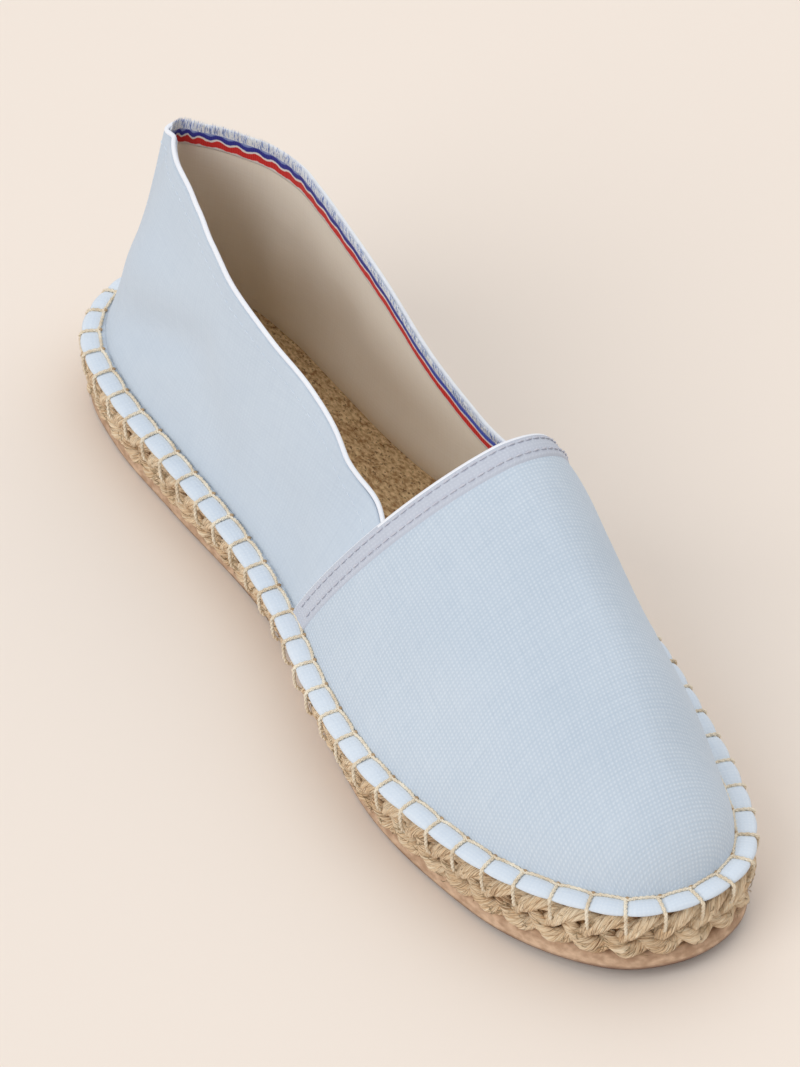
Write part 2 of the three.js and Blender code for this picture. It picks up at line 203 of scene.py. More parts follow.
def column(table: tuple, name: str, key: str, root: bool = False) -> Column:
    """One column of a table as a curve.

    Args:
        table: rows of PLAN, VAMP or QUARTER.
        name: the field that the curve gives.
        key: the field that it runs along.
        root: run along the square root of key, for a steep start.

    Returns:
        The curve.
    """
    at = (getattr(row, key) for row in table)
    return Column(tuple(math.sqrt(x) if root else x for x in at), tuple(getattr(row, name) for row in table))


@dataclass(frozen=True)
class Last:
    """Form of the shoe: plan of the sole, crease line, vamp, quarter and collar."""

    sole_length: float = 262.0
    ball_width: float = 86.8
    rubber_thickness: float = 3.8
    rope_seat: float = 4.1
    rope_thickness: float = 13.3
    sole_taper: float = 2.2
    toe_taper: float = 0.6
    waist_pinch: float = 4.2
    waist_middle: float = 0.02
    waist_reach: float = 0.2
    toe_spring: float = 3.9
    arch_lift: float = 1.4
    foot_sink: float = 1.0
    canvas_thickness: float = 1.5
    welt_width: float = 4.8
    heel_tuck: float = 1.3
    heel_tuck_reach: float = 0.035
    welt_thickness: float = 1.2
    vamp_length: float = 106.0
    instep_rise: float = 49.0
    ridge_shift: float = 14.0
    hem_sweep: float = 20.0
    heel_rise: float = 61.0
    quarter_step: float = 0.5
    quarter_tuck: float = 4.0
    quarter_ease: float = 22.0
    legs: int = 66
    gap: float = 0.3
    samples: int = 1440

    @property
    def rope_top(self) -> float:
        """Height of the top of the rope."""
        return self.rope_seat + self.rope_thickness

    @property
    def upper_seat(self) -> float:
        """Height at which the upper's margin lies on the rope."""
        return self.rope_top + self.gap

    @property
    def crease(self) -> float:
        """Height of the crease between the margin and the walls."""
        return self.upper_seat + self.welt_thickness

    @cached_property
    def plan_curve(self) -> Points:
        """Dense closed curve through the plan, from the toe by the lateral side to the heel and back."""
        rows = [(row.along, row.lateral) for row in reversed(PLAN[1:])] + [(0.0, 0.0)]
        rows += [(row.along, -row.medial) for row in PLAN[1:-1]]
        knots = np.array([((along - 0.5) * self.sole_length, wide * self.ball_width) for along, wide in rows])
        t = np.linspace(0, 1, 120, endpoint=False)[:, None]
        pieces = []
        for i in range(len(knots)):
            p0, p1, p2, p3 = (knots[(i + k) % len(knots)] for k in (-1, 0, 1, 2))
            d0, d1, d2 = (math.sqrt(np.linalg.norm(b - a)) for a, b in ((p0, p1), (p1, p2), (p2, p3)))
            t1 = ((p1 - p0) / d0 - (p2 - p0) / (d0 + d1) + (p2 - p1) / d1) * d1
            t2 = ((p2 - p1) / d1 - (p3 - p1) / (d1 + d2) + (p3 - p2) / d2) * d1
            bend = 3 * (p2 - p1) - 2 * t1 - t2
            pieces.append(p1 + t1 * t + bend * t**2 + (2 * (p1 - p2) + t1 + t2) * t**3)
        return np.concatenate(pieces)

    @cached_property
    def perimeter(self) -> float:
        """Length of the plan curve."""
        run = self.plan_curve
        return float(np.linalg.norm(np.roll(run, -1, axis=0) - run, axis=1).sum())

    @cached_property
    def loop(self) -> Points:
        """Evenly spaced points of the plan curve with their inward normals: x, y, nx, ny."""
        run = np.vstack([self.plan_curve, self.plan_curve[:1]])
        along = np.concatenate([[0], np.cumsum(np.linalg.norm(np.diff(run, axis=0), axis=1))])
        at = np.linspace(0, along[-1], self.samples, endpoint=False)
        x, y = np.interp(at, along, run[:, 0]), np.interp(at, along, run[:, 1])
        ahead = np.stack([np.roll(x, -2) - np.roll(x, 2), np.roll(y, -2) - np.roll(y, 2)])
        ahead /= np.linalg.norm(ahead, axis=0)
        return np.stack([x, y, -ahead[1], ahead[0]], axis=1)

    def edge(self, share: Points | float, inset: Points | float) -> tuple[Points, Points]:
        """Plan point at a share of the perimeter, moved inwards.

        Args:
            share: place round the shoe, from 0 at the toe by the lateral side.
            inset: distance inwards from the plan curve.

        Returns:
            The x and y of each point.
        """
        at = np.arange(self.samples + 1) / self.samples
        row = [np.interp(np.mod(share, 1.0), at, np.append(line, line[0])) for line in self.loop.T]
        rear = np.exp(-(((np.mod(share, 1.0) - self.rear_share) / self.heel_tuck_reach) ** 2))
        inset = inset + self.heel_tuck * rear * np.clip(1 - inset / self.welt_width, 0, 1)
        return row[0] + row[2] * inset, row[1] + row[3] * inset

    @cached_property
    def rear_share(self) -> float:
        """Share of the perimeter at the rearmost point of the plan."""
        return float(np.argmin(self.loop[:, 0])) / self.samples

    def spring(self, x: Points | float) -> Points:
        """How far the toe's spring raises a point."""
        return self.toe_spring * np.clip((x / self.sole_length - 0.2) / 0.3, 0, 1) ** 2

    def arch(self, x: Points | float) -> Points:
        """How far the waist's arch lifts the lower face of the rubber."""
        along = x / self.sole_length + 0.5
        return self.arch_lift * smooth(0.3, 0.42, along) * (1 - smooth(0.44, 0.56, along))

    def side_inset(self, x: Points, y: Points, height: Points | float) -> Points:
        """How far in from the plan curve the sole's side lies at a height above the floor."""
        waist = np.exp(-(((x / self.sole_length - self.waist_middle) / self.waist_reach) ** 2))
        taper = mix(self.sole_taper, self.toe_taper, smooth(0.3, 0.5, x / self.sole_length))
        pinch = np.where(np.asarray(y) < 0, self.waist_pinch * waist, 0.0)
        return (1 - height / self.rope_top) * (taper + pinch)

    def seam(self, inset: float, side: Side) -> tuple[Points, Points]:
        """One side of the inset plan as y over rising x."""
        return seam_line(self, inset, side)

    def crease_y(self, x: Points, depth: float, side: Side) -> Points:
        """y of the crease line at x, at a depth below the vamp's outer face."""
        return np.interp(x, *self.seam(self.welt_width + depth, side))

    def toe_x(self, depth: float = 0.0) -> float:
        """Foremost x of the crease line."""
        return float(self.seam(self.welt_width + depth, Side.MEDIAL)[0][-1])

    @cached_property
    def throat_x(self) -> float:
        """Where the middle of the throat lies."""
        return self.toe_x() - self.vamp_length

    def hem_at(self, up: Points | float) -> Points:
        """x of the hem's rear edge at a share of its rise."""
        base = self.throat_x - self.hem_sweep
        return mix(base, self.throat_x, np.clip(up, 0, 1))

    def hem_x(self, turn: Points | float) -> Points:
        """x of the hem's rear edge at a turn over the vamp."""
        full = np.where(np.asarray(turn) < 0.5, VAMP_LATERAL(1.0), VAMP_MEDIAL(1.0))
        return self.hem_at(np.maximum(0, np.sin(np.asarray(turn) * math.pi)) ** (2 / full))

    def arch_section(self, x: Points, depth: float) -> dict[str, Points]:
        """The arch of the vamp at x: ridge, rise, base, and the reach of each side."""
        lateral, medial = (self.crease_y(x, depth, side) for side in (Side.LATERAL, Side.MEDIAL))
        behind = (self.toe_x(depth) - x) / self.vamp_length
        ridge = mix((medial + lateral) / 2, self.ridge_shift, VAMP_RIDGE(behind))
        return {
            "ridge": ridge,
            "rise": VAMP_RISE(np.sqrt(np.maximum(0, behind))) * (self.instep_rise - depth),
            "base": self.crease - self.foot_sink + self.spring(x),
            "lateral": lateral - ridge,
            "medial": medial - ridge,
            "lateral_full": VAMP_LATERAL(behind),
            "medial_full": VAMP_MEDIAL(behind),
        }

    def vamp_points(self, x: Points, turn: Points, depth: float = 0.0) -> Points:
        """Points of the vamp.

        Args:
            x: place along the shoe.
            turn: 0 at the lateral crease, over the ridge to 1 at the medial crease.
            depth: distance below the outer face.

        Returns:
            The points, with x, y and z in the last axis.
        """
        x, turn = np.broadcast_arrays(np.asarray(x, float), np.asarray(turn, float))
        arch = self.arch_section(x, depth)
        outer = turn < 0.5
        reach = np.where(outer, arch["lateral"], arch["medial"])
        full = np.where(outer, arch["lateral_full"], arch["medial_full"])
        across = np.abs(np.cos(turn * math.pi)) ** (2 / full)
        up = np.maximum(0, np.sin(turn * math.pi)) ** (2 / full)
        return np.stack([x, arch["ridge"] + reach * across, arch["base"] + arch["rise"] * up], axis=-1)

    def quarter_foot(self, share: Points) -> tuple[Points, Points]:
        """x of the crease at a share of the perimeter, and whether it is on the lateral side."""
        x, _ = self.edge(share, self.welt_width)
        return x, np.asarray(share) < self.heel_share

    @cached_property
    def heel_share(self) -> float:
        """Share of the perimeter at the back of the heel."""
        share = np.arange(self.samples) / self.samples
        return float(share[np.argmin(self.edge(share, self.welt_width)[0])])

    @cached_property
    def quarter_span(self) -> tuple[float, float]:
        """Shares of the perimeter at the lateral and medial ends of the quarter."""
        share = np.arange(self.samples) / self.samples
        inside = share[self.edge(share, self.welt_width)[0] < self.throat_x + self.quarter_tuck]
        return float(inside[0]), float(inside[-1])

    def share_at(self, x: float, side: Side) -> float:
        """Share of the perimeter at which the crease passes x on a side."""
        share = np.linspace(0, self.heel_share, 1000)
        if side is Side.MEDIAL:
            share = 1 - np.linspace(0, 1 - self.heel_share, 1000)
        return float(share[np.argmin(np.abs(self.edge(share, self.welt_width)[0] - x))])

    def collar_height(self, share: Points) -> Points:
        """Height of the collar above the crease."""
        x, outer = self.quarter_foot(share)
        along = (x - self.heel_x) / self.sole_length
        return np.where(outer, RISE_LATERAL(along), RISE_MEDIAL(along)) * self.heel_rise

    @cached_property
    def heel_x(self) -> float:
        """Rearmost x of the crease line."""
        return float(self.seam(self.welt_width, Side.MEDIAL)[0][0])

    def quarter_points(self, share: Points, height: Points, depth: float) -> Points:
        """Points of the quarter.

        Args:
            share: place round the shoe.
            height: height above the crease.
            depth: distance below the vamp's outer face.

        Returns:
            The points, with x, y and z in the last axis.
        """
        share, height = np.broadcast_arrays(np.asarray(share, float), np.asarray(height, float))
        crease_x, outer = self.quarter_foot(share)
        x, y = self.edge(share, self.welt_width + depth)
        along = (crease_x - self.heel_x) / self.sole_length
        lean = self.heel_rise * np.clip(height / self.collar_height(share), 0, 1.2)
        hem = self.hem_at(height / self.instep_rise)
        held = smooth(0.0, 1.0, (crease_x - hem) / self.quarter_ease + 1)
        free = lean * np.where(outer, IN_LATERAL(along), IN_MEDIAL(along))
        arch = self.arch_section(x, self.quarter_step)
        reach = np.abs(np.where(outer, arch["lateral"], arch["medial"]))
        full = np.where(outer, arch["lateral_full"], arch["medial_full"])
        up = np.clip(height / arch["rise"], 0, 1)
        arched = reach * (1 - (1 - up**full) ** (1 / full))
        inset = mix(free, arched, held)
        base = self.crease - self.foot_sink + self.spring(x)
        y = y + np.where(outer, -inset, inset)
        return np.stack([x + lean * FORWARD(along), y, base + height], axis=-1)


VAMP_RISE = column(VAMP, "rise", "behind", root=True)
VAMP_RIDGE = column(VAMP, "ridge", "behind")
VAMP_LATERAL = column(VAMP, "lateral_full", "behind")
VAMP_MEDIAL = column(VAMP, "medial_full", "behind")
RISE_LATERAL = column(QUARTER, "lateral_rise", "along")
RISE_MEDIAL = column(QUARTER, "medial_rise", "along")
IN_LATERAL = column(QUARTER, "lateral_in", "along")
IN_MEDIAL = column(QUARTER, "medial_in", "along")
FORWARD = column(QUARTER, "forward", "along")


@cache
def seam_line(last: Last, inset: float, side: Side) -> tuple[Points, Points]:
    """One side of the plan curve moved inwards, as y over rising x.

    Args:
        last: the form of the shoe.
        inset: distance inwards from the plan curve.
        side: the side of the foot.

    Returns:
        Rising x and the y at each.
    """
    share = np.arange(last.samples) / last.samples
    x, y = last.edge(share, inset)
    toe, heel = int(np.argmax(x)), int(np.argmin(x))
    x, y, back = np.roll(x, -toe), np.roll(y, -toe), (heel - toe) % len(x)
    half = slice(back, None, -1) if side is Side.LATERAL else slice(back, None)
    x, y = np.append(x[half], x[0]), np.append(y[half], y[0])
    rising = np.concatenate([[True], x[1:] > np.maximum.accumulate(x)[:-1]])
    return x[rising], y[rising]


# ---------------------------------------------------------------------------------------------------------
# Mesh tools


def lay_grid(bm: bmesh.types.BMesh, points: Points, uvs: Points) -> None:
    """Lays a grid over a table of points.

    Args:
        bm: the mesh that the grid is added to.
        points: millimetres, by row and column.
        uvs: the two texture coordinates of each point, in metres.
    """
    rows, columns = points.shape[:2]
    layer = bm.loops.layers.uv.get("UVMap") or bm.loops.layers.uv.new("UVMap")
    made = bmesh.ops.create_grid(bm, x_segments=rows - 1, y_segments=columns - 1, size=1.0)["verts"]
    cell = {v: (round((v.co.x + 1) / 2 * (rows - 1)), round((v.co.y + 1) / 2 * (columns - 1))) for v in made}
    for face in {face for v in made for face in v.link_faces}:
        for corner in face.loops:
            corner[layer].uv = uvs[cell[corner.vert]]
    for vert, (row, at) in cell.items():
        vert.co = Vector(points[row, at]) * MM


def weld(bm: bmesh.types.BMesh, within: float = 0.004) -> None:
    """Joins vertices that lie on each other, which closes seams and poles."""
    bmesh.ops.remove_doubles(bm, verts=bm.verts, dist=within * MM)


def face_away(bm: bmesh.types.BMesh, inner: Points) -> None:
    """Turns all faces round if most of them look towards an inner place in millimetres."""
    bm.normal_update()
    core = Vector(inner) * MM
    facing = sum(f.normal.dot(f.calc_center_median() - core) * f.calc_area() for f in bm.faces)
    if facing < 0:
        bmesh.ops.reverse_faces(bm, faces=bm.faces)


def grid_normals(points: Points) -> Points:
    """Unit normals of a table of points, by its rows and columns."""
    across = np.cross(np.gradient(points, axis=0), np.gradient(points, axis=1))
    return across / np.maximum(np.linalg.norm(across, axis=-1, keepdims=True), 1e-9)


def lengths(points: Points) -> Points:
    """Length along each row of a table of points, from its first column."""
    step = np.linalg.norm(np.diff(points, axis=1), axis=-1)
    return np.concatenate([np.zeros((len(points), 1)), np.cumsum(step, axis=1)], axis=1)


def tube(
    bm: bmesh.types.BMesh,
    path: Points,
    radius: Points | float,
    sides: int,
    reference: Points,
    girth: float = 1.0,
) -> None:
    """Sweeps a round section along a path; a radius of nothing at an end closes it.

    Args:
        bm: the mesh that the tube is added to.
        path: points of the middle line, in millimetres.
        radius: radius at each point.
        sides: number of faces round the tube.
        reference: direction across the path, for each point or for all of them.
        girth: what the UV map's V reaches round the tube.
    """
    run = np.gradient(path, axis=0)
    run /= np.maximum(np.linalg.norm(run, axis=1, keepdims=True), 1e-9)
    over = reference - run * np.sum(run * reference, axis=1, keepdims=True)
    over /= np.maximum(np.linalg.norm(over, axis=1, keepdims=True), 1e-9)
    other = np.cross(run, over)
    turn = np.linspace(0, 2 * math.pi, sides + 1)
    wide = np.broadcast_to(radius, len(path))[:, None, None]
    ring = over[:, None] * np.cos(turn)[:, None] + other[:, None] * np.sin(turn)[:, None]
    along = np.concatenate([[0], np.cumsum(np.linalg.norm(np.diff(path, axis=0), axis=1))]) * MM
    uvs = np.stack(np.broadcast_arrays(along[:, None], girth * turn / (2 * math.pi)), axis=-1)
    lay_grid(bm, path[:, None] + ring * wide, uvs)


def ends(count: int) -> Points:
    """Shares of a thread's radius along its points: round, closed ends."""
    share = np.ones(count)
    share[[0, -1]], share[[1, -2]] = 0.0, 0.75
    return share


def settle(
    bm: bmesh.types.BMesh,
    name: str,
    materials: list[bpy.types.Material],
    stands_for: str | None = None,
) -> bpy.types.Object:
    """Makes a piece of a finished mesh and sets it on the shoe.

    Args:
        bm: the finished mesh, which is freed.
        name: the piece's name.
        materials: what the piece is made of, by material index.
        stands_for: the CAD node that the piece replaces.

    Returns:
        The piece.
    """
    weld(bm)
    for face in bm.faces:
        face.smooth = True
    mesh = bpy.data.meshes.new(name)
    bm.to_mesh(mesh)
    bm.free()
    piece = bpy.data.objects.new(name, mesh)
    bpy.context.scene.collection.objects.link(piece)
    for material in materials:
        mesh.materials.append(material)
    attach(piece, "root")
    if stands_for:
        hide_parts(stands_for)
    LOG.info("%s: %d faces", name, len(mesh.polygons))
    return piece


def thicken(piece: bpy.types.Object, thickness: float, lined: bool = False) -> None:
    """Gives a sheet its thickness on the inside, with the second material there if it is lined."""
    wall = piece.modifiers.new("wall", "SOLIDIFY")
    wall.thickness, wall.offset = thickness * MM, -1
    wall.use_even_offset = False
    wall.material_offset = 1 if lined else 0


# ---------------------------------------------------------------------------------------------------------
# Finishes


def srgb(red: int, green: int, blue: int) -> tuple[float, float, float, float]:
    """Linear colour of an eye estimate from 0 to 255."""
    linear = (c / 255 / 12.92 if c <= 10 else ((c / 255 + 0.055) / 1.055) ** 2.4 for c in (red, green, blue))
    return (*linear, 1.0)


class Graph:
    """Shader nodes of one material, added and linked by short calls."""

    def __init__(self, name: str, roughness: float, sheen: float = 0.0) -> None:
        """Starts a material with its plain shader settings."""
        self.material = bpy.data.materials.new(name)
        self.material.use_nodes = True
        self.tree = self.material.node_tree
        self.shader = self.tree.nodes["Principled BSDF"]
        self.shader.inputs["Roughness"].default_value = roughness
        self.shader.inputs["Sheen Weight"].default_value = sheen
        self.shader.inputs["Specular IOR Level"].default_value = 0.25

    def add(self, kind: str, inputs: dict[str | int, object], **settings: object) -> bpy.types.Node:
        """Adds a node.

        Args:
            kind: the node's type, without its ShaderNode prefix.
            inputs: a socket to link from or a constant, by the input's name or place.
            settings: the node's own settings.

        Returns:
            The node.
        """
        node = self.tree.nodes.new("ShaderNode" + kind)
        for name, value in settings.items():
            setattr(node, name, value)
        for name, value in inputs.items():
            if isinstance(value, Socket):
                self.tree.links.new(value, node.inputs[name])
            else:
                node.inputs[name].default_value = value
        return node

    def math(self, operation: str, a: object, b: object = 0.0, c: object = 0.0) -> Socket:
        """Result of a sum on numbers or sockets."""
        return self.add("Math", {0: a, 1: b, 2: c}, operation=operation).outputs[0]

    def blend(self, factor: object, low: object, high: object) -> Socket:
        """Colour between two, by a factor."""
        node = self.add("Mix", {0: factor, 6: low, 7: high}, data_type="RGBA")
        return node.outputs[2]

    def ramp(self, value: Socket, low: float, high: float) -> Socket:
        """Value stretched so that low gives 0 and high gives 1, held between them."""
        return self.add("MapRange", {0: value, 1: low, 2: high}).outputs[0]

    def noise(self, vector: Socket, scale: float, detail: float = 2.0, stretch: Points = (1, 1, 1)) -> Socket:
        """Soft noise of about 0 to 1 over a vector, stretched along its axes."""
        place = self.add("Mapping", {"Vector": vector, "Scale": stretch}).outputs[0]
        return self.add("TexNoise", {"Vector": place, "Scale": scale, "Detail": detail}).outputs[0]

    def place(self) -> Socket:
        """The piece's Object coordinates, in metres."""
        return self.add("TexCoord", {}).outputs["Object"]

    def cloth(self) -> Socket:
        """The piece's own UV map, in metres."""
        return self.add("UVMap", {}, uv_map="UVMap").outputs[0]

    def split(self, vector: Socket) -> tuple[Socket, Socket, Socket]:
        """x, y and z of a vector."""
        outputs = self.add("SeparateXYZ", {0: vector}).outputs
        return outputs[0], outputs[1], outputs[2]

    def dress(self, colour: Socket, height: Socket | None = None, relief: float = 0.1) -> bpy.types.Material:
        """Sets the colour and the relief.

        Args:
            colour: colour of the surface.
            height: relief from 0 to 1.
            relief: depth of the relief in millimetres.

        Returns:
            The finished material.
        """
        self.tree.links.new(colour, self.shader.inputs["Base Color"])
        if height is not None:
            bump = self.add("Bump", {"Height": height, "Distance": relief * MM, "Strength": 1.0})
            self.tree.links.new(bump.outputs[0], self.shader.inputs["Normal"])
        return self.material


@dataclass(frozen=True)
class CanvasFinish:
    """Plain-woven cotton: warp and weft threads, slubs, and soft washed mottling."""

    name: str
    light: tuple[int, int, int]
    shade: tuple[int, int, int]
    contrast: float
    relief: float
    thread: float = 1.0

    def material(self) -> bpy.types.Material:
        """Builds the material on the piece's UV map."""
        graph = Graph(self.name, roughness=0.88, sheen=0.12)
        cloth = graph.cloth()
        u, v, _ = graph.split(cloth)
        turn = 2 * math.pi / (self.thread * MM)
        waves = (graph.math("COSINE", graph.math("MULTIPLY", along, turn)) for along in (u, v))
        warp, weft = (graph.math("MULTIPLY_ADD", wave, 0.5, 0.5) for wave in waves)
        weave = graph.math("MULTIPLY", warp, weft)
        slub = graph.noise(cloth, 90, 3.0, (1.0, 14.0, 1.0))
        streak = graph.noise(cloth, 90, 3.0, (14.0, 1.0, 1.0))
        yarn = graph.math("MULTIPLY", graph.math("ADD", slub, streak), 0.5)
        cloud = graph.noise(graph.place(), 28, 3.0)
        tone = graph.math("MULTIPLY_ADD", weave, self.contrast, graph.math("MULTIPLY", yarn, 0.5))
        tone = graph.math("MULTIPLY_ADD", cloud, 0.35, graph.math("ADD", tone, -0.2))
        colour = graph.blend(graph.ramp(tone, 0.05, 0.9), srgb(*self.shade), srgb(*self.light))
        height = graph.math("MULTIPLY_ADD", yarn, 0.5, weave)
        return graph.dress(colour, height, self.relief)


@dataclass(frozen=True)
class JuteFinish:
    """Jute yarn: fine fibres that wind round the strand, with pale stray ones and painted shade in the hollows
    between them.
    """

    name: str
    light: tuple[int, int, int]
    middle: tuple[int, int, int]
    dark: tuple[int, int, int]
    twist: float = 9.0
    relief: float = 0.9

    def material(self) -> bpy.types.Material:
        """Builds the material on the tube's UV map: along it in metres, round it from 0 to 1."""
        graph = Graph(self.name, roughness=0.9, sheen=0.1)
        u, v, _ = graph.split(graph.cloth())
        wound = graph.math("MULTIPLY_ADD", u, 1000 / self.twist, v)
        along = graph.math("MULTIPLY", u, 60.0)
        strand = graph.add("CombineXYZ", {0: along, 1: wound, 2: 0.0}).outputs[0]
        fibre = graph.noise(strand, 5.0, 4.0, (0.5, 3.6, 1.0))
        patch = graph.noise(graph.place(), 160, 3.0)
        tone = graph.math("MULTIPLY_ADD", fibre, 0.85, graph.math("MULTIPLY", patch, 0.35))
        pale = graph.blend(graph.ramp(tone, 0.53, 0.72), srgb(*self.middle), srgb(*self.light))
        # The fibres' tone varies on its own, and painted shade: the dark colour falls where the fibres lie low,
        # where the bump sinks.
        colour = graph.blend(graph.ramp(tone, 0.41, 0.54), srgb(*self.dark), pale)
        return graph.dress(colour, fibre, self.relief)


@dataclass(frozen=True)
class FootbedFinish:
    """Pressed jute under the foot: short fibres mostly along the shoe, with dark and bright specks."""

    name: str = "pressed_jute"
    light: tuple[int, int, int] = (238, 210, 164)
    dark: tuple[int, int, int] = (164, 126, 86)
    speck: tuple[int, int, int] = (240, 214, 168)
    pit: tuple[int, int, int] = (96, 64, 36)
    relief: float = 0.6

    def material(self) -> bpy.types.Material:
        """Builds the material on Object coordinates."""
        graph = Graph(self.name, roughness=0.92)
        place = graph.place()
        fibre = graph.noise(place, 1300, 3.0, (0.5, 1.0, 1.0))
        patch = graph.noise(place, 260, 3.0, (1.0, 0.6, 1.0))
        bright = graph.ramp(graph.noise(place, 1900, 1.0), 0.6, 0.7)
        hollow = graph.ramp(graph.noise(place, 1500, 2.0, (0.6, 1.0, 1.0)), 0.4, 0.32)
        tone = graph.math("MULTIPLY_ADD", fibre, 0.75, graph.math("MULTIPLY", patch, 0.25))
        colour = graph.blend(graph.ramp(tone, 0.36, 0.64), srgb(*self.dark), srgb(*self.light))
        colour = graph.blend(graph.math("MULTIPLY", bright, 0.55), colour, srgb(*self.speck))
        colour = graph.blend(graph.math("MULTIPLY", hollow, 0.7), colour, srgb(*self.pit))
        return graph.dress(colour, tone, self.relief)


@dataclass(frozen=True)
class RubberFinish:
    """Thin moulded rubber: pale tan with a fine grain, and painted shadow that darkens it at the floor."""

    name: str = "sole_rubber"
    light: tuple[int, int, int] = (214, 184, 156)
    dark: tuple[int, int, int] = (178, 146, 120)
    # base: colour of the painted contact shadow along the floor.
    base: tuple[int, int, int] = (92, 68, 64)
    relief: float = 0.05

    def material(self) -> bpy.types.Material:
        """Builds the material; V of the UV map is the height above the sole's lower edge."""
        graph = Graph(self.name, roughness=0.7)
        place = graph.place()
        grain, patch = graph.noise(place, 1400, 2.0), graph.noise(place, 60, 3.0)
        fleck = graph.noise(place, 420, 3.0, (1.0, 1.0, 2.2))
        tone = graph.math("MULTIPLY_ADD", fleck, 0.6, graph.math("MULTIPLY", patch, 0.4))
        colour = graph.blend(graph.ramp(tone, 0.4, 0.6), srgb(*self.dark), srgb(*self.light))
        # Painted shadow: the colour turns to base over the lowest two millimetres or so above the floor.
        low = graph.math("MULTIPLY_ADD", patch, 0.0008, graph.split(graph.cloth())[1])
        colour = graph.blend(graph.ramp(low, 0.0005, 0.0018), srgb(*self.base), colour)
        return graph.dress(colour, grain, self.relief)


@dataclass(frozen=True)
class ThreadFinish:
    """Twisted sewing thread with painted shade in the hollows along its turns."""

    name: str
    light: tuple[int, int, int]
    dark: tuple[int, int, int]
    relief: float = 0.12

    def material(self) -> bpy.types.Material:
        """Builds the material on the tube's UV map."""
        graph = Graph(self.name, roughness=0.8, sheen=0.1)
        u, v, _ = graph.split(graph.cloth())
        wound = graph.math("MULTIPLY_ADD", u, 900.0, v)
        wave = graph.math("SINE", graph.math("MULTIPLY", wound, 4 * math.pi))
        turns = graph.math("MULTIPLY_ADD", wave, 0.5, 0.5)
        patch = graph.noise(graph.place(), 240, 2.0)
        # Painted shade: the colour darkens in the hollows between the turns, where the bump sinks.
        tone = graph.math("MULTIPLY_ADD", turns, 0.35, graph.ramp(patch, 0.3, 0.75))
        return graph.dress(graph.blend(tone, srgb(*self.dark), srgb(*self.light)), turns, self.relief)


@dataclass(frozen=True)
class SelvedgeFinish:
    """Woven edge: bands of colour across the tape, from its fringe at 0 to its lower edge at 1."""

    name: str = "woven_selvedge"
    fringe: tuple[int, int, int] = (226, 234, 246)
    haze: tuple[int, int, int] = (130, 146, 204)
    navy: tuple[int, int, int] = (44, 46, 146)
    # bright: painted lit tone of the navy band towards the front of the shoe.
    bright: tuple[int, int, int] = (74, 98, 212)
    white: tuple[int, int, int] = (236, 230, 226)
    red: tuple[int, int, int] = (212, 36, 30)
    weft: float = 0.7
    relief: float = 0.12

    def material(self) -> bpy.types.Material:
        """Builds the material: V of the UV map runs across the bands."""
        graph = Graph(self.name, roughness=0.85, sheen=0.15)
        cloth = graph.cloth()
        u, v, _ = graph.split(cloth)
        ripple = graph.noise(cloth, 700, 2.0, (1.0, 0.01, 1.0))
        across = graph.math("MULTIPLY_ADD", ripple, 0.08, graph.math("SUBTRACT", v, 0.04))
        colour = graph.blend(graph.ramp(across, 0.1, 0.27), srgb(*self.fringe), srgb(*self.haze))
        # Painted light: the navy band turns brighter blue towards the front of the shoe.
        far = graph.ramp(graph.split(graph.place())[0], -0.04, 0.01)
        navy = graph.blend(far, srgb(*self.navy), srgb(*self.bright))
        for start, band in ((0.31, navy), (0.52, self.white), (0.61, self.red), (0.9, self.white)):
            band = band if isinstance(band, Socket) else srgb(*band)
            colour = graph.blend(graph.ramp(across, start - 0.02, start + 0.02), colour, band)
        threads = graph.math("SINE", graph.math("MULTIPLY", u, 2 * math.pi / (self.weft * MM)))
        height = graph.math("MULTIPLY_ADD", threads, 0.3, ripple)
        return graph.dress(colour, height, self.relief)


@dataclass(frozen=True)
class FloorFinish:
    """Plain pale floor with the faintest unevenness."""

    name: str = "studio_floor"
    colour: tuple[int, int, int] = (241, 230, 220)
    patch_colour: tuple[int, int, int] = (239, 228, 218)

    def material(self) -> bpy.types.Material:
        """Builds the material on Object coordinates."""
        graph = Graph(self.name, roughness=0.9)
        patch = graph.noise(graph.place(), 2.0, 2.0)
        return graph.dress(graph.blend(patch, srgb(*self.colour), srgb(*self.patch_colour)))


# ---------------------------------------------------------------------------------------------------------
# Sub-assemblies


@dataclass(frozen=True)
class Fold:
    """Soft trough in the cloth along a line between two places; a negative depth makes a ridge."""

    start: tuple[float, float, float]
    end: tuple[float, float, float]
    depth: float
    width: float

    def push(self, points: Points) -> Points:
        """How far each point moves in, in millimetres."""
        start, run = np.array(self.start), np.array(self.end) - np.array(self.start)
        share = np.clip(((points - start) @ run) / (run @ run), 0, 1)
        off = np.linalg.norm(points - start - share[..., None] * run, axis=-1)
        return self.depth * np.exp(-((off / self.width) ** 2)) * np.sin(math.pi * (0.15 + 0.7 * share))


